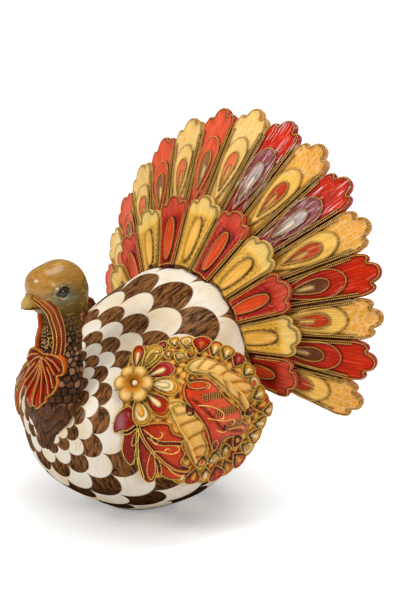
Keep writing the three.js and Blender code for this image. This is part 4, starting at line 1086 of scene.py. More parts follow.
def neck():
    """Scales down to the crop, then rows of strands to the tip."""
    rows, columns = 260, 230
    z = np.linspace(NECK_TOP, NECK_TOP - NECK_LENGTH, rows)
    reach, wide, deep = neck_line(z)
    turn = full_turn(columns)
    rng = np.random.default_rng(7)
    draws = []
    level, k = NECK_TOP + 2, 0
    while level > NECK_TOP - NECK_LENGTH:
        _, half_width, half_depth = neck_line(np.array(level))
        pace = np.hypot(half_width * np.cos(turn), half_depth * np.sin(turn)) + 0.4
        run = np.concatenate([[0], np.cumsum(pace)]) / pace.sum()
        shares = (np.arange(SCALES_ROUND) + 0.5 * (k % 2) + rng.uniform(-0.3, 0.3, SCALES_ROUND)) / SCALES_ROUND
        angles = np.interp(shares % 1, run, np.append(turn, 2 * np.pi))
        draws.append(np.stack([angles, level + rng.uniform(-1.3, 1.3, SCALES_ROUND)], 1))
        level -= max(float(pace.mean()) * 2 * np.pi / SCALES_ROUND * 0.86, 3.2)
        k += 1
    seeds = np.concatenate(draws)
    tint = rng.random(len(seeds))
    place_angle, place_z = np.meshgrid(turn, z)
    size = np.hypot(wide[:, None] * np.cos(turn), deep[:, None] * np.sin(turn)) + 0.4
    flat_angle, flat_z, flat_size = place_angle.ravel(), place_z.ravel(), size.ravel()
    first, second = np.full(len(flat_z), 99.0), np.full(len(flat_z), 99.0)
    owner = np.zeros(len(flat_z), int)
    for k, (angle, level) in enumerate(seeds):
        gap = (flat_angle - angle + np.pi) % (2 * np.pi) - np.pi
        apart = np.hypot(gap * flat_size, (flat_z - level) * 1.05)
        closer = apart < first
        second = np.where(closer, first, np.minimum(second, apart))
        owner[closer] = k
        first = np.minimum(first, apart)
    seam = (second - first).reshape(rows, columns)
    tint = tint[owner].reshape(rows, columns)
    first = first.reshape(rows, columns)
    scale_height = 1.35 * ease(seam, 0, 2.2) + 0.35 * (1 - np.clip(first / 3, 0, 1) ** 2)
    # Strands on the crop: overlapping rows whose ends stand off like bark
    front = np.cos(place_angle)
    edge = 127 + 9 * (1 - front) * 0.5 + 2.0 * np.sin(place_angle * 9)
    strand_share = 1 - ease(place_z, edge - 2, edge + 3)
    around = place_angle * 11 + 0.6 * np.sin(place_z * 0.21)
    shift = 7.5 * np.sin(np.floor(around) * 12.9898)
    row = (place_z + shift + 4 * front) / 14
    fall = row - np.floor(row)
    grain = np.abs(around % 1 - 0.5) * 2
    fine = np.sin(place_angle * 61 + 3 * np.sin(place_z * 0.13)) * 0.5 + 0.5
    strand_height = 0.5 + 1.3 * (1 - fall) * (1 - grain ** 3) + 0.35 * fine
    # Smooth at the top, where the head's paint runs down
    top_share = ease(place_z, NECK_TOP - 14, NECK_TOP - 2)
    height = (scale_height * (1 - 0.75 * top_share)) * (1 - strand_share) + strand_height * strand_share
    shrink = np.minimum(1, np.minimum(wide, deep) / 3)[:, None]
    points = oval_point(place_z, place_angle, 0, (height - 0.6) * shrink,
                        wide[:, None], deep[:, None], reach[:, None])
    scale_paint = mixed(rgb(66, 38, 16), rgb(138, 92, 46), ease(tint, 0.2, 0.9))
    scale_paint = mixed(scale_paint, rgb(184, 138, 112), 0.6 * ease(tint, 0.66, 0.95))
    # Near black in the grooves between the scales: partly dark paint, partly painted shade
    scale_paint = mixed(scale_paint, rgb(12, 6, 4), 0.95 * (1 - ease(seam, 0.4, 2.1)))
    strand_paint = mixed(rgb(70, 36, 14), rgb(152, 96, 46), 0.85 * (1 - fall) * (0.3 + 0.7 * fine))
    # Near black between the strands and under each row's standing end: partly dark paint, partly painted shade
    strand_paint = mixed(strand_paint, rgb(20, 11, 6), 0.9 * ease(grain, 0.55, 0.95) + 0.7 * ease(fall, 0.8, 1))
    paint = mixed(scale_paint, strand_paint, strand_share)
    # At the top, olive that goes darker in the grooves between the scales: partly dark paint, partly painted shade
    olive = mixed(rgb(112, 84, 34), rgb(62, 42, 18), 1 - ease(seam, 0.3, 1.5))
    paint = mixed(paint, olive, ease(place_z, NECK_TOP - 22, NECK_TOP - 8))
    soup = Soup()
    local = np.stack([place_angle * 20, place_z, 0 * place_z], -1)
    soup.add(points, [grid_faces(rows, columns, True)], paint.reshape(-1, 3), local)
    soup.cap(0, columns, np.array([0, -float(reach[0]), NECK_TOP - 0.5]), rgb(70, 50, 30))

    def on_throat(across, along, lift):
        reach, half_width, half_depth = neck_line(along)
        return oval_point(along, across / half_depth, 0, lift + 0.6, half_width, half_depth, reach)

    # Pale beads and a small gilt scroll between the ends of the snood
    for aside in (-3.6, 0.2, 4):
        drop = np.array([[0.6 * aside, 194 + 0.5 * aside], [aside, 186.0], [0.7 * aside, 177.0]])
        beads(soup, drop, on_throat, 3.3, rgb(206, 176, 112), closed=False, radius=0.26, height=1.3)
    scroll = spline([[8.6, 178], [4.6, 181.5], [4.8, 186], [8, 187], [9.2, 184.2], [7, 183]], 10, False)
    beads(soup, scroll, on_throat, 1.5, FINE_BEAD, closed=False, height=1.1, lift=0.5)
    material = painted("neck_paint", 0.7, 0.1, 0.35, 0.24, coat=0.5, streaks_and_sheen=0.12, streak_and_sheen_colour=rgb(196, 172, 160))
    soup.build("neck_casting", material, "neck_scales", ["neck"], flip=True)


WATTLE_RADIUS = 33.4


def wattle():
    """A lobed leaf on the throat, with beaded veins."""
    corners = np.array([[6, 0], [13, -0.6], [19, 0.8], [22.5, 5], [24, 12], [22.6, 17.4], [18.6, 18.6], [20.6, 23],
                        [20.6, 29], [18, 35], [14.4, 37.6], [14.6, 41.5], [10.4, 45], [7.4, 48.6], [3.5, 50.6]])
    outline = spline(np.concatenate([[[0, 1]], corners, [[0, 48.6]], corners[::-1] * [-1, 1]]), 8)
    outline = even(outline, 1.0)
    top = SNOOD_END - SEAT_GAP
    lines = [np.array([[0, 5], [0, 25], [0, 46]])]
    for side in (-1, 1):
        for corners in ([[1.5, 4], [9, 8], [17.5, 17]], [[1.2, 8], [6, 16], [12, 25], [16, 33]],
                        [[1.2, 12], [5, 24], [8.5, 34], [10, 42]], [[8, 12], [13, 18], [18, 27]],
                        [[6, 3], [14, 5.5], [20.5, 11.5]]):
            lines.append(spline(np.array(corners) * [side, 1], 8, False))
    veins = [even(line, 1.0, False) for line in lines]

    def relief(points):
        edge = -distance(points, outline)
        near = nearest(points, veins)
        height = 3.2 * dome(edge, 3.4) - 0.4
        height = height + 0.9 * bell(near, 0, 1.2) - 0.9 * bell(near, 2.6, 0.9)
        return height, edge, near

    def place(across, along, height):
        z = top - along
        reach, _, half_depth = neck_line(z)
        across = across - 0.04 * along
        turn = np.arcsin(np.clip(across / (WATTLE_RADIUS + 0.6), -0.95, 0.95))
        spot = oval_point(z, turn, 0.6, height, WATTLE_RADIUS, half_depth, reach)
        spot[..., 1] -= 0.7 * half_depth * (1 - np.cos(turn)) * (across < 0)
        return spot

    points, triangles = patch(outline, opened(veins), 0.95)
    height, edge, near = relief(points)
    paint = mixed(rgb(198, 44, 8), rgb(230, 104, 28), 1 - ease(edge, 0.8, 4.0))
    # Dark in the grooves beside the veins and inside the rim: partly dark paint, partly painted shade
    paint = mixed(paint, rgb(44, 8, 4), 0.9 * bell(near, 2.0, 1.0) * ease(edge, 1, 3))
    paint = mixed(paint, WASH_AND_SHADE, 0.8 * bell(edge, 2.2, 0.8))
    soup = Soup()
    tile(soup, points, triangles, place(*points.T, height),
         place(*points.T, -0.5 - 0.011 * points[:, 0] ** 2), paint, paint * 0.5, sheet(points))
    surface = over(place, relief)
    beads(soup, inset(outline, 1.1), surface, 1.45, FINE_BEAD)
    # A double row down the middle, a single one on each other vein
    for row in [veins[0] - [0.9, 0], veins[0] + [0.9, 0]] + veins[1:]:
        beads(soup, row, surface, 1.4, FINE_BEAD, closed=False, keep=lambda line: distance(line, outline) < -2)
    soup.build("wattle_leaf", painted("wattle_paint", 0.9, 0.15, 0.35, 0.24, coat=0.6), "wattle_red", ["wattle"])


head()
eye_finish = eye_material()
for side in (1, -1):
    eye(side, eye_finish)
horn_paint = painted("horn_paint", 0.8, 0.25, 0.35, 0.34, coat=0.15)
beak(True, horn_paint)
beak(False, horn_paint)
snood()
neck()
wattle()


# Wings: drawn on a plane beside the body and laid on its skin along rays from its centre
FACING = unit([0.97, -0.24, 0.02])
WING_ALONG = unit(np.cross([0, 0, 1.0], FACING))
BLOSSOM_FACING = unit([64, -65, 42])
WING_OUTLINE = 100 * np.array([
    [-0.66, 1.16], [-0.5, 1.2], [-0.3, 1.12], [-0.11, 1.05], [0.06, 1], [0.2, 0.88], [0.33, 0.82], [0.42, 0.66],
    [0.54, 0.52], [0.62, 0.36], [0.64, 0.2], [0.8, 0.08], [0.85, -0.06], [0.72, -0.17], [0.63, -0.27],
    [0.52, -0.42], [0.36, -0.53], [0.14, -0.54], [-0.04, -0.5], [-0.22, -0.44], [-0.42, -0.42], [-0.51, -0.35],
    [-0.6, -0.22], [-0.68, -0.08], [-0.73, 0.08], [-0.74, 0.22], [-0.76, 0.42], [-0.76, 0.64], [-0.74, 0.86],
    [-0.7, 1.04]])


def lift_depth(ray):
    """How far the wing stands off the skin: more towards its rear."""
    run = np.clip((100 * (ray @ WING_ALONG) / (ray @ FACING) + 40) / 120, 0, 1)
    return 2.8 + 13 * run ** 1.5 - 1.9 * ease(-100 * (ray @ WING_ALONG) / (ray @ FACING), 58, 80)


def wing_place(facing):
    """A way to lay a drawing on the body, seen from one side."""
    along = unit(np.cross([0, 0, 1.0], facing))
    up = np.cross(facing, along)

    def place(across, rise, height, from_skin=False):
        ray = unit(facing * 100 + along * np.asarray(across)[:, None] + up * np.asarray(rise)[:, None])
        depth = 0 if from_skin else lift_depth(ray)
        return BODY_CENTRE + ray * (skin_distance(ray) + depth + height)[:, None]
    return place


on_wing, on_blossom = wing_place(FACING), wing_place(BLOSSOM_FACING)
CREAM, AMBER, GOLD, RUST, RED, PINK, PLUM = (rgb(255, 224, 156), rgb(246, 166, 52), rgb(226, 162, 50),
    rgb(212, 86, 22), rgb(190, 32, 10), rgb(206, 72, 72), rgb(124, 26, 26))


def carved(soup, place, outline, relief, paint, curves, spacing, under=-0.8, seed=0.0, seated=False,
           wall=0.15, step=1.0):
    """A raised ornament inside an outline: relief gives the height, paint the colours, seated takes it to the skin.

    It gives back the way to place beads on its relief.
    """
    points, triangles = patch(outline, curves, spacing)
    ring = even(outline, step)
    edge = -distance(points, ring)
    height = relief(points, edge)
    colours = paint(points, edge, height)
    # The back and side walls take the colours darkened by wall: painted shade
    tile(soup, points, triangles, place(*points.T, height),
         place(*points.T, np.full(len(points), under), seated), colours, colours * wall, sheet(points, seed))
    return over(place, lambda spots: [relief(spots, -distance(spots, ring))])


def turned(shape, angle, centre):
    """A flat shape turned about its origin and moved."""
    c, s = math.cos(angle), math.sin(angle)
    return shape @ np.array([[c, s], [-s, c]]) + centre


def petal(soup, place, foot, angle, length, width, colours, level, seed):
    """A leaf with a round end: its point is at the foot, and the angle is its heading. Bead rim, inner drop."""
    outer, inner, core = colours
    shape = lambda curve: turned(curve * [1, -1] + [0, length], angle - math.pi / 2, foot)
    outline = shape(teardrop(0, length * 0.3, length, width / 2, 0.75))
    inside = shape(teardrop(length * 0.17, length * 0.36, length * 0.9, width * 0.29, 0.6))
    heart = shape(teardrop(length * 0.3, length * 0.42, length * 0.82, width * 0.13, 0.6))

    def relief(points, edge):
        second, third = -distance(points, inside), -distance(points, heart)
        height = level + 1.7 * dome(edge, 2.2) - 0.8 * ease(edge, 2.4, 3.4)
        height = height + 1.3 * ease(second, -0.8, 0.4) - 0.9 * ease(second, 0.4, 1.4)
        return height + 1.5 * ease(third, -0.5, 0.8)

    def paint(points, edge, height):
        second, third = -distance(points, inside), -distance(points, heart)
        tone = mixed(outer, inner, ease(second, -0.4, 0.4))
        tone = mixed(tone, core, ease(third, -0.4, 0.3))
        # Dark inside the rim and round the inner drop and heart: partly dark paint, partly painted shade
        wash_and_shade = 0.8 * bell(edge, 1.7, 0.8) + 0.8 * bell(second, -0.4, 0.6) + 0.7 * bell(third, -0.3, 0.6)
        return mixed(tone, WASH_AND_SHADE, np.minimum(wash_and_shade, 0.95))

    surface = carved(soup, place, outline, relief, paint, [(inside, True), (heart, True)], 1.1, seed=seed)
    beads(soup, inset(outline, 0.9), surface, RING_PITCH, FINE_BEAD)


def beside(curve, gap):
    """A curve that runs beside another."""
    ahead = unit(np.gradient(curve, axis=0))
    return curve + gap * np.stack([-ahead[:, 1], ahead[:, 0]], 1)


def cord(soup, curve, place, size, paint):
    """A fine raised line of paste: a half-round strip along an open curve, thinner at its ends."""
    line = even(curve, 0.8, False)
    foot = place(*line.T, 0.0)
    out = unit(place(*line.T, 1.0) - foot)
    along = unit(np.gradient(foot, axis=0))
    side = unit(np.cross(along, out))
    turn = np.linspace(0, np.pi, 6)
    steps = np.arange(len(line))
    taper = np.sqrt(np.clip(np.minimum(steps, steps[::-1]) / 4 + 0.12, 0, 1))
    reach = (size * taper)[:, None, None]
    ring = (foot[:, None] + side[:, None] * reach * np.cos(turn)[None, :, None]
            + out[:, None] * (reach * 1.3 * np.sin(turn)[None, :, None] - 0.25))
    soup.add(ring, [grid_faces(len(line), 6)], paint, gilt=0.5)


def wing_base(material):
    """The wing's ground with its scrolled border of leaflets."""
    soup = Soup()
    outline = spline(WING_OUTLINE, 5)

    def relief(points, edge):
        wave = np.sin(points[:, 0] * 0.55 + 1.2 * np.sin(points[:, 1] * 0.31)) * np.sin(points[:, 1] * 0.5)
        return -1.6 * rounded(edge, 3) + 1.1 * wave

    def paint(points, edge, height):
        # A painted highlight on the crests, and dark in the hollows: partly dark paint, partly painted shade
        tone = mixed(rgb(186, 112, 30), rgb(250, 190, 84), ease(height, -0.5, 0.9))
        return mixed(tone, rgb(84, 42, 10), 0.9 * (1 - ease(height, -1.0, 0.1)))

    surface = carved(soup, on_wing, outline, relief, paint, (), 1.7, under=-1.5, seated=True, wall=0.4, step=1.4)
    beads(soup, inset(outline, 1.6), surface, ROW_PITCH, GOLD_BEAD)
    # Leaflets round the edge and within it: along, up, heading in degrees, length, width and colours
    border = [
        (-14, 88, 100, 20, 12, (PINK, PLUM, PINK)), (-4, 84, 80, 22, 12, (GOLD, AMBER, CREAM)),
        (6, 76, 70, 24, 13, (AMBER, CREAM, GOLD)), (16, 66, 60, 26, 16, (RED, RED, RUST)),
        (26, 58, 52, 24, 12, (RUST, AMBER, CREAM)), (34, 52, 45, 22, 12, (GOLD, AMBER, CREAM)),
        (42, 44, 38, 20, 12, (PINK, RED, PINK)), (45, 34, 25, 19, 12, (GOLD, AMBER, CREAM)),
        (45, 24, 12, 20, 13, (AMBER, CREAM, RUST)), (46, 14, 10, 22, 12, (GOLD, AMBER, CREAM)),
        (48, 6, 2, 26, 14, (RUST, RED, AMBER)), (58, 1, -8, 24, 11, (GOLD, AMBER, CREAM)),
        (46, -6, -16, 26, 12, (AMBER, GOLD, CREAM)), (40, -13, -25, 26, 13, (GOLD, AMBER, CREAM)),
        (34, -20, -34, 28, 13, (AMBER, CREAM, GOLD)), (28, -26, -48, 26, 13, (RED, RUST, AMBER)),
        (20, -30, -60, 24, 13, (AMBER, RUST, GOLD)), (12, -32, -72, 22, 13, (PINK, RED, RUST)),
        (4, -32, -84, 20, 12, (GOLD, AMBER, CREAM)), (-5, -30, -95, 20, 12, (RUST, RED, AMBER)),
        (-14, -32, -100, 16, 11, (AMBER, GOLD, CREAM)),
    ]
    for k, (p, q, heading, length, width, tones) in enumerate(border):
        petal(soup, on_wing, (p, q), math.radians(heading), 1.1 * length, 1.36 * width, tones, 0.3 + 0.8 * (k % 2),
              3.0 * k)
    inner = [
        (-20, 82, 130, 17, 10, (GOLD, AMBER, CREAM)), (-16, 70, 75, 17, 11, (AMBER, RUST, CREAM)),
        (-8, 62, 60, 17, 11, (GOLD, CREAM, AMBER)), (3, 63, 50, 16, 10, (AMBER, GOLD, RUST)),
        (14, 4, -60, 15, 9, (PLUM, RED, PINK)), (24, -8, -50, 17, 10, (PINK, PLUM, AMBER)),
        (16, -12, -70, 17, 10, (GOLD, AMBER, CREAM)), (8, -16, -80, 16, 11, (AMBER, CREAM, GOLD)),
        (0, -18, -95, 15, 10, (GOLD, AMBER, RUST)), (34, 4, 10, 14, 8, (PLUM, PINK, PLUM)),
        (-12, 24, -75, 14, 8, (PLUM, RED, PLUM)), (-6, 40, 20, 12, 9, (AMBER, RUST, GOLD)),
    ]
    for k, (p, q, heading, length, width, tones) in enumerate(inner):
        petal(soup, on_wing, (p, q), math.radians(heading), length, 1.25 * width, tones, 1.4, 70 + 3.0 * k)
    return soup, "base", "wing_gold", material


def front_red_leaf(material):
    """The lobed leaf in front, towards the breast."""
    outline = spline([
        (-53, 11), (-63, 27), (-79, 21), (-84, 9), (-81, 1), (-71, 2), (-73, -13), (-69, -25), (-62, -29), (-57, -21),
        (-56, -32), (-53, -41), (-47, -48), (-40, -46), (-37, -37), (-34, -39), (-25, -44), (-15, -43), (-9, -38),
        (-10, -31), (-17, -25), (-14, -17), (-17, -10), (-15, -3), (-24, 2), (-27, 9), (-40, 11)], 6)
    ribs = splines(([(-55, 10), (-50, -2), (-44, -11), (-38, -18), (-29, -27), (-21, -32), (-12, -34)],
                    [(-55, 6), (-56, -8), (-55, -22), (-51, -40)]))
    cuts = splines(([(-57, 8), (-64, 4), (-71, 3)], [(-56, -12), (-57, -20), (-58, -28)],
                    [(-45, 0), (-36, -6), (-27, -7), (-16, -8)], [(-38, -22), (-36, -30), (-36, -38)]))

    def relief(points, edge):
        near = nearest(points, ribs)
        notch = nearest(points, cuts)
        height = 0.4 + 2.7 * dome(edge, 4.5) - 0.7 * ease(edge, 4, 9)
        height = height + 0.9 * bell(near, 0, 1.3) - 0.7 * bell(near, 2.8, 0.8)
        return height - 1.6 * bell(notch, 0, 1.2)

    def paint(points, edge, height):
        near = nearest(points, ribs)
        notch = nearest(points, cuts)
        tone = mixed(rgb(140, 22, 10), rgb(214, 62, 18), ease(points[:, 0], -62, -22))
        tone = mixed(tone, rgb(226, 104, 48), 0.7 * (1 - ease(edge, 1.0, 3.0)))
        bright = bell(points[:, 0], -74, 5) * bell(points[:, 1], 12, 9)
        tone = mixed(tone, rgb(206, 176, 186), 0.6 * bright * (0.5 + 0.5 * np.sin(points[:, 0] * 2.6 + points[:, 1])))
        # Dark beside the ribs, in the cuts and inside the rim: partly dark paint, partly painted shade
        wash_and_shade = 0.9 * bell(near, 2.4, 1.1) + 0.95 * bell(notch, 0, 1.4)
        return mixed(tone, WASH_AND_SHADE, np.minimum(wash_and_shade + 0.9 * bell(edge, 2.2, 0.9), 0.95))

    soup = Soup()
    surface = carved(soup, on_wing, outline, relief, paint, opened(ribs + cuts), 1.15, under=-1.2, seed=120,
                     seated=True)
    beads(soup, inset(outline, 1.2), surface, RING_PITCH, FINE_BEAD)
    for curve in ribs:
        for side in (-1.0, 1.0):
            beads(soup, curve + [side, side * 0.3], surface, 1.45, FINE_BEAD, closed=False)
    for corners in ([(-42, -12), (-46, -23), (-47, -34), (-44, -42), (-40, -35), (-40, -23)],
                    [(-55, 5), (-60, -1), (-61, -8), (-57, -6), (-54, 1)]):
        beads(soup, spline(corners, 6), surface, 1.45, FINE_BEAD)
    for curve in cuts:
        for gap in (-1.7, 1.7):
            beads(soup, beside(curve, gap), surface, 1.45, FINE_BEAD, closed=False)
    for scroll in splines((
            [(-50, 6), (-45, 2), (-40, -2), (-35, -2), (-33, 1), (-35, 3)],
            [(-44, 1), (-42, -4), (-39, -7), (-37, -5)],
            [(-42, -13), (-34, -14), (-27, -16), (-22, -15), (-20, -11), (-23, -9)],
            [(-33, -14), (-29, -11), (-27, -13)], [(-30, -27), (-26, -33), (-19, -38), (-14, -38)]), 8):
        cord(soup, scroll, surface, 0.62, FINE_BEAD)
    return soup, "front_red_leaf", "leaf_red", material


def gold_leaf(outline, mid, folds, crown, groove, cut, paint, dark, spacing, seed):
    """A leaf with a corded rib, a groove on each side of it, and cuts in from the rim.

    crown is the height of its dome and how far in that is reached, cut the depth and half width of each fold,
    dark the colour, share and half width of the darkening in it: partly dark paint, partly painted shade. Paint gives
    the colours under that darkening.
    """
    def relief(points, edge):
        near, fold = distance(points, mid, False), nearest(points, folds)
        height = 0.9 + crown[0] * dome(edge, crown[1]) + bell(near, 0, 1.0)
        return height - 0.5 * bell(near, groove, 0.9) - cut[0] * bell(fold, 0, cut[1])

    def colours(points, edge, height):
        # Dark in the folds and inside the rim: partly dark paint, partly painted shade
        tone = mixed(paint(points, height), dark[0], dark[1] * bell(nearest(points, folds), 0, dark[2]))
        return mixed(tone, WASH_AND_SHADE, 0.85 * bell(edge, 2.0, 0.8))

    soup = Soup()
    surface = carved(soup, on_wing, outline, relief, colours, opened([mid] + folds), spacing, seed=seed)
    beads(soup, inset(outline, 1.0), surface, RING_PITCH, FINE_BEAD)
    cord(soup, mid, surface, 0.8, FINE_BEAD)
    return soup


def front_gold_leaf(material):
    """The narrow leaf that hangs down from the blossom."""
    outline = spline([(-28, 24), (-27, 14), (-24, 8), (-17, -3), (-15, -14), (-10, -25), (-5, -32), (2, -34),
                      (6, -28), (3, -20), (4, -12), (0, -3), (2, 5), (-4, 12), (-9, 20), (-16, 26)], 6)
    mid, *folds = splines((
        [(-25, 22), (-23, 13), (-19, 4), (-14, -5), (-10, -15), (-6, -27)],
        [(-20, 6), (-12, 8), (-4, 9)], [(-14, -5), (-8, -2), (0, 0)], [(-10, -15), (-4, -12), (3, -13)],
        [(-8, -22), (-2, -21), (3, -25)]))

    def paint(points, height):
        tone = mixed(rgb(250, 182, 70), rgb(238, 142, 48), ease(-points[:, 1], 6, 26))
        # Paler on the raised parts: a painted highlight
        tone = mixed(tone, rgb(255, 226, 160), 0.45 * ease(height, 3.1, 3.8))
        swirl = np.hypot((points[:, 0] + 17) / 9, (points[:, 1] - 18) / 5)
        return mixed(tone, rgb(150, 122, 44), 0.8 * (1 - ease(np.abs(swirl - 0.7), 0.1, 0.35)))

    soup = gold_leaf(outline, mid, folds, (2.6, 4), 2.4, (0.8, 1.3), paint, (rgb(120, 58, 16), 0.75, 1.1), 1.15, 150)
    return soup, "front_gold_leaf", "leaf_amber", material


def rear_gold_leaf(material):
    """The notched leaf that arches over the rear red leaf."""
    outline = spline([(2, 46), (-2, 54), (6, 61), (18, 62), (28, 56), (34, 49), (38, 43), (44, 37), (50, 31),
                      (53, 24), (51, 17), (44, 14), (47, 8), (44, 0), (40, -3), (37, 6), (33, 14), (27, 20),
                      (23, 28), (18, 37), (12, 42)], 6)
    mid, *folds = splines((
        [(3, 49), (12, 48), (22, 42), (30, 32), (37, 22), (41, 10)],
        [(8, 49), (14, 55), (20, 58)], [(17, 46), (25, 50), (30, 51)], [(25, 39), (34, 42), (40, 39)],
        [(31, 31), (40, 31), (48, 29)], [(36, 23), (43, 21), (50, 21)], [(17, 45), (18, 40), (19, 37)],
        [(27, 36), (27, 30), (27, 25)], [(36, 23), (35, 17), (36, 12)]))

    def paint(points, height):
        tone = mixed(rgb(255, 200, 100), rgb(250, 170, 66), ease(points[:, 0], 16, 44))
        tone = mixed(tone, rgb(170, 126, 34), 0.7 * (1 - ease(points[:, 0], -2, 14)))
        # Paler on the raised parts: a painted highlight
        return mixed(tone, rgb(255, 230, 172), 0.45 * ease(height, 3.2, 4.0))

    soup = gold_leaf(outline, mid, folds, (2.8, 4.5), 2.5, (1.0, 1.5), paint, (rgb(128, 66, 18), 0.7, 1.2), 1.2, 210)
    return soup, "rear_gold_leaf", "leaf_amber", material


# Groups of beaded bars on the rear red leaf: from, to and how many
BARS = [((3, 24), (18, 24), 9), ((11, 11), (27, 11), 9), ((20, 0), (33, -1), 8)]


def rear_red_leaf(material):
    """The leaf behind the blossom, with an oval, scrolls and beaded bars."""
    outline = spline([(-8, 38), (3, 42), (14, 39), (19, 31), (22, 23), (26, 17), (33, 10), (35, 1), (41, -5),
                      (38, -12), (29, -13), (22, -11), (16, -13), (14, -20), (10, -23), (6, -18), (3, -10),
                      (0, 1), (-4, 9), (-9, 18), (-12, 28)], 6)
    t = np.linspace(0, 2 * np.pi, 40)[:-1]
    oval = np.stack([2 + 8 * np.cos(t), 35 + 3.2 * np.sin(t) - 0.8 * np.cos(t)], 1)
    mid = spline([(-5, 24), (3, 14), (9, 6), (14, -1), (24, -5), (34, -8)], 6, False)
    scrolls = splines((
        [(-3, 19), (6, 17), (12, 14), (16, 10), (15, 6), (12, 7)],
        [(2, 9), (10, 6), (18, 4), (24, 4), (25, 1), (22, 0)],
        [(8, -1), (15, -4), (24, -3), (32, -4), (35, -8)], [(9, 36), (12, 34), (11, 31), (8, 31)]), 8)

    def relief(points, edge):
        near, ring = distance(points, mid, False), distance(points, oval)
        height = 1.2 + 2.9 * dome(edge, 4.2) - 0.9 * bell(near, 0, 1.2)
        return height + 0.9 * ease(-ring, -0.9, 0.3) - 0.5 * ease(-ring, 0.3, 1.6)

    def paint(points, edge, height):
        near, ring = distance(points, mid, False), distance(points, oval)
        tone = mixed(rgb(216, 66, 30), rgb(236, 96, 62), ease(points[:, 0], 0, 20))
        low = ease(-points[:, 1], 4, 14) * (1 - ease(points[:, 0], 20, 26))
        tone = mixed(tone, rgb(120, 30, 24), 0.8 * low)
        tone = mixed(tone, rgb(216, 66, 10), ease(-ring, -0.4, 0.4))
        bars = 0 * edge
        for bar_low, bar_high, _ in BARS:
            run = np.array(bar_high, float) - bar_low
            size = np.hypot(*run)
            along = ((points - bar_low) @ run) / size
            aside = np.abs((points - bar_low) @ np.array([-run[1], run[0]])) / size
            bars = bars + ease(-aside, -3.6, -2.4) * ease(along, -2, -0.6) * ease(-along, -size - 2, -size - 0.6)
        tone = mixed(tone, WASH_AND_SHADE, 0.75 * np.minimum(bars, 1))
        # Dark round the oval, along the middle line and inside the rim: partly dark paint, partly painted shade
        wash_and_shade = 0.85 * bell(ring, 0.7, 0.9) + 0.85 * bell(near, 0, 1.3)
        return mixed(tone, WASH_AND_SHADE, np.minimum(wash_and_shade + 0.9 * bell(edge, 2.1, 0.9), 0.95))

    soup = Soup()
    surface = carved(soup, on_wing, outline, relief, paint, [(oval, True), (mid, False)], 1.15, seed=180)
    beads(soup, inset(outline, 1.1), surface, RING_PITCH, FINE_BEAD)
    beads(soup, oval, surface, 1.3, FINE_BEAD)
    for curve in scrolls:
        cord(soup, curve, surface, 0.6, FINE_BEAD)
    for low, high, count in BARS:
        for k in range(count):
            at = np.array(low) + (np.array(high) - low) * k / (count - 1)
            bar = np.array([at - [1.0, 2.4], at + [0.6, 2.4]])
            beads(soup, bar, surface, 1.15, FINE_BEAD, closed=False)
    beads(soup, turned(teardrop(0, 3, 11, 2.2), math.radians(176), (8.5, -9)), surface, 1.3, FINE_BEAD)
    return soup, "rear_red_leaf", "leaf_rose", material


def petal_ring(material):
    """Six petals round the blossom: heading, reach, width and colours of each."""
    soup = Soup()
    looks = [(84, 45, 15, (RED, RUST, CREAM)), (58, 50, 18, (GOLD, rgb(246, 196, 96), rgb(140, 116, 30))),
             (25, 43, 18, (PINK, RED, CREAM)), (-4, 42, 18.5, (AMBER, CREAM, CREAM)),
             (-40, 40, 17.5, (RUST, RED, CREAM)), (-73, 37, 17, (GOLD, CREAM, AMBER))]
    for k, (heading, reach, width, tones) in enumerate(looks):
        angle = math.radians(heading)
        foot = np.array([math.cos(angle), math.sin(angle)]) * 9
        petal(soup, on_blossom, foot, angle, reach - 9, width, tones, 1.3 + 0.5 * (k % 2), 240 + 3 * k)
    return soup, "petals", "petal_paint", material


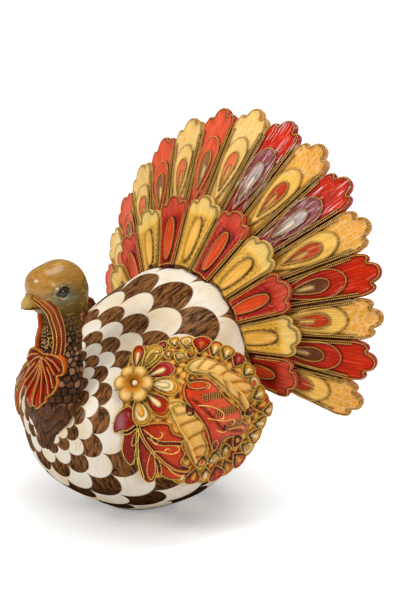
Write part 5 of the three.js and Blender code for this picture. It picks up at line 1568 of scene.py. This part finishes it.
def blossom(material):
    """A six-lobed cup with a beaded rim and a pearl in it."""
    rows, columns = 44, 140
    share = np.linspace(0, 1, rows)[:, None]
    turn = full_turn(columns)[None]
    lobe = np.abs(np.cos(turn * 3)) ** 0.6
    reach = 17.8 * (0.76 + 0.24 * lobe)
    a, b = share * reach * np.cos(turn), share * reach * np.sin(turn)
    cup = 3.2 + 5.2 * ease(share, 0.12, 0.62) - 2.6 * ease(share, 0.78, 1.0) ** 2
    pillow = 1.5 * lobe * np.sin(np.clip((share - 0.3) / 0.7, 0, 1) * np.pi)
    height = cup + (pillow - (1 - lobe) * ease(share, 0.3, 0.6))
    top = on_blossom(a.ravel(), b.ravel(), height.ravel()).reshape(rows, columns, 3)
    rim_a, rim_b = a[-1], b[-1]
    skirt = on_blossom(rim_a * 0.9, rim_b * 0.9, np.full(columns, 1.0))[None]
    foot = on_blossom(rim_a * 0.3, rim_b * 0.3, np.full(columns, 1.0))[None]
    tone = mixed(rgb(84, 38, 8), rgb(196, 122, 26), ease(share + 0 * turn, 0.08, 0.34))
    tone = mixed(tone, rgb(238, 176, 74), ease(share + 0 * turn, 0.34, 0.62))
    # A painted highlight along the crest of each lobe; dark in the notches between the lobes and at the rim: partly
    # dark paint, partly painted shade
    tone = mixed(tone, rgb(255, 226, 158), 0.6 * lobe * bell(share, 0.7, 0.13))
    tone = mixed(tone, rgb(130, 70, 16), 0.85 * (1 - lobe) * ease(share, 0.3, 0.6))
    tone = mixed(tone, WASH_AND_SHADE, 0.7 * ease(share + 0 * lobe, 0.9, 0.97))
    soup = Soup()
    rings = np.concatenate([top, skirt, foot])
    colours = np.concatenate([tone, np.repeat(rgb(150, 100, 44)[None, None], 2, 0).repeat(columns, 1)])
    local = np.concatenate([np.stack([a, b, 0 * a + 300], -1), np.zeros((2, columns, 3))])
    soup.add(rings, [grid_faces(rows + 2, columns, True)], colours.reshape(-1, 3), local)
    edge = np.stack([0.97 * rim_a, 0.97 * rim_b], 1)
    spot = lambda p, q, lift: on_blossom(p, q, lift + 5.6)
    beads(soup, edge, spot, 1.45, FINE_BEAD)
    # The pearl in the cup
    sides = 24
    polar = np.linspace(0.01, np.pi * 0.75, rows)[:, None]
    turn = full_turn(sides)[None]
    middle = on_blossom(np.array([1.6]), np.array([-0.6]), np.array([5.4]))[0]
    axis = unit(on_blossom([0.0], [0.0], np.array([9.0]))[0] - on_blossom([0.0], [0.0], np.array([0.0]))[0])
    u = unit(np.cross(axis, [0, 0, 1.0]))
    v = np.cross(axis, u)
    ball = middle + 2.5 * (np.cos(polar)[..., None] * axis + (np.sin(polar) * np.cos(turn))[..., None] * u
                           + (np.sin(polar) * np.sin(turn))[..., None] * v)
    soup.add(ball, [grid_faces(rows, sides, True)], rgb(246, 226, 178))
    return soup, "blossom", "blossom_cream", material


def wings():
    """Both wings: every piece is made once and mirrored."""
    gold = painted("wing_gold_paint", 0.7, 0.5, 0.3, 0.3, coat=0.5, streaks_and_sheen=0.25, streak_and_sheen_colour=rgb(250, 214, 150))
    red = painted("wing_red_paint", 0.9, 0.3, 0.4, 0.27, coat=0.6, streaks_and_sheen=0.2, streak_and_sheen_colour=rgb(226, 150, 130))
    rose = painted("wing_rose_paint", 0.9, 0.3, 0.35, 0.27, coat=0.6, streaks_and_sheen=0.2, streak_and_sheen_colour=rgb(240, 170, 150))
    amber = painted("wing_amber_paint", 0.4, 0.6, 0.25, 0.27, coat=0.6, streaks_and_sheen=0.25, streak_and_sheen_colour=rgb(252, 222, 160))
    ring = painted("petal_ring_paint", 0.8, 0.6, 0.3, 0.26, coat=0.6)
    cream = painted("blossom_paint", 0.8, 0.8, 0.2, 0.22, coat=0.7)
    for made in (wing_base(gold), front_red_leaf(red), front_gold_leaf(amber), rear_red_leaf(rose),
                 rear_gold_leaf(amber), petal_ring(ring), blossom(cream)):
        soup, part, slot, material = made
        for side in ("left", "right"):
            soup.build(f"{side}_{part}_relief", material, slot, [f"{side}_wing_{part}"], mirror=side == "right")


wings()


# Pieces that come as they are: felt, plug, dowels and the backing behind the feathers
def carried(name, dark, light, stretch, roughness, metallic=0.0, bump=0.3):
    """Marks in two tones, placed in millimetres."""
    net = Net(name)
    spot = net.node("ShaderNodeTexCoord").outputs["Object"]
    place = net.scaled(spot, tuple(1000.0 * part for part in stretch))
    marks = net.noise(place, 1.0, 5.0, 0.65)
    broad = net.noise(net.scaled(place, (0.12, 0.12, 0.12)), 1.0, 2.0)
    colour = net.blend(net.span(marks, 0.3, 0.7), dark, light)
    colour = net.blend(net.times(net.span(broad, 0.4, 0.7), 0.35), colour, dark)
    rough = net.span(marks, 0.2, 0.8, 1.15 * roughness, 0.85 * roughness)
    return net.finish(colour, rough, net.bump(marks, bump, 0.0004), metallic)


felt = carried("green_felt", rgb(64, 82, 58), rgb(120, 140, 108), (1.6, 1.6, 1.6), 0.85, bump=0.7)
plug = carried("plug_resin", rgb(186, 172, 146), rgb(224, 214, 194), (0.5, 0.5, 0.5), 0.6)
steel = carried("dowel_steel", rgb(140, 142, 146), rgb(206, 208, 212), (1.8, 1.8, 0.3), 0.36, metallic=1.0, bump=0.1)
gold_back = carried("backing_gold", rgb(150, 100, 38), rgb(202, 150, 68), (0.9, 0.9, 0.4), 0.42)
for node, material in (("felt_pad", felt), ("base_plug", plug), ("tail_backing", gold_back), ("neck_dowel", steel),
                       ("head_dowel", steel), ("left_tail_dowel", steel), ("right_tail_dowel", steel)):
    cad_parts[node].material_slots[0].material = material


# Studio: a pale floor that keeps the figure's shadow, a soft key from the left, a fill from the right, one from above
FLOOR_REACH = 9.0
SURROUNDINGS_LIGHT = 0.32
LAMPS = {"key": ((-0.35, -1.5, 1.25), 0.16, 0.55, 14.5), "fill": ((1.7, -0.1, 0.9), 0.16, 0.5, 6),
         "top": ((0.1, 0.3, 1.7), 0.1, 0.8, 10)}


def studio():
    """Floor, white surroundings, and the lamps: place, height that each faces, size and watts."""
    floor = bpy.data.meshes.new("floor")
    floor.from_pydata([(x * FLOOR_REACH, y * FLOOR_REACH, 0) for x, y in ((-1, -1), (1, -1), (1, 1), (-1, 1))],
                      [], [(0, 1, 2, 3)])
    ground = bpy.data.objects.new("floor", floor)
    bpy.context.scene.collection.objects.link(ground)
    net = Net("floor_paper")
    net.finish(rgb(236, 236, 236), 0.9, specular=0.0)
    path = net.node("ShaderNodeLightPath")
    glow = net.node("ShaderNodeEmission")
    seen = net.math("MAXIMUM", path.outputs["Is Camera Ray"], path.outputs["Is Glossy Ray"])
    seen = net.math("MAXIMUM", seen, path.outputs["Is Transmission Ray"])
    # Paler far off, where the lamps no longer reach, so that the floor fades into the white behind it, and its glow
    # dimmed
    # close under the figure: a painted shadow
    far = net.vector("LENGTH", net.node("ShaderNodeTexCoord").outputs["Object"])
    shade = net.node("ShaderNodeAmbientOcclusion")
    shade.samples = 12
    shade.inputs["Distance"].default_value = 0.11
    level = net.times(net.span(far, 0.25, 1.6, 0.66, 0.8), net.span(shade.outputs["AO"], 0.3, 0.9, 0.38))
    net.put(glow.inputs["Strength"], net.times(seen, level))
    both = net.node("ShaderNodeAddShader")
    net.put(both.inputs[0], net.shader.outputs[0])
    net.put(both.inputs[1], glow.outputs[0])
    output = [node for node in net.tree.nodes if node.type == "OUTPUT_MATERIAL"][0]
    net.put(output.inputs[0], both.outputs[0])
    floor.materials.append(net.holder)

    # The surroundings: white to the eye, dimmer as a light
    net = Net("studio", "worlds", "Background")
    path = net.node("ShaderNodeLightPath")
    seen = net.math("MAXIMUM", path.outputs["Is Camera Ray"], path.outputs["Is Transmission Ray"])
    net.put(net.shader.inputs["Color"], (1, 1, 1))
    net.put(net.shader.inputs["Strength"], net.span(seen, 0.0, 1.0, SURROUNDINGS_LIGHT))
    bpy.context.scene.world = net.holder

    for name, (where, height, size, watts) in LAMPS.items():
        light = bpy.data.lights.new(name, "AREA")
        light.shape, light.size, light.size_y, light.energy = "RECTANGLE", size, size, watts
        thing = bpy.data.objects.new(name, light)
        bpy.context.scene.collection.objects.link(thing)
        thing.location = where
        thing.rotation_euler = (Vector((0, 0, height)) - Vector(where)).to_track_quat("-Z", "Y").to_euler()


VIEW_AZIMUTH, VIEW_ELEVATION, VIEW_DISTANCE = math.radians(46.48), math.radians(18.05), 1419.4
AIM_ASIDE, AIM_HEIGHT, FOCAL_LENGTH = 46.4, 186.8, 90.4


def camera():
    """A view from the front and the figure's own left, a little above it."""
    azimuth, elevation = VIEW_AZIMUTH, VIEW_ELEVATION
    right = np.array([math.cos(azimuth), math.sin(azimuth), 0])
    back = np.array([math.sin(azimuth) * math.cos(elevation), -math.cos(azimuth) * math.cos(elevation),
                     math.sin(elevation)])
    aim = right * AIM_ASIDE + [0, 0, AIM_HEIGHT]
    data = bpy.data.cameras.new("camera")
    data.lens, data.sensor_width, data.sensor_fit = FOCAL_LENGTH, 36, "AUTO"
    data.clip_start, data.clip_end = 0.05, 50
    thing = bpy.data.objects.new("camera", data)
    thing.location = (aim + back * VIEW_DISTANCE) * METRE
    thing.rotation_euler = Vector(-back).to_track_quat("-Z", "Y").to_euler()
    bpy.context.scene.collection.objects.link(thing)
    bpy.context.scene.camera = thing


studio()
camera()
bpy.context.scene.view_settings.view_transform = "Standard"
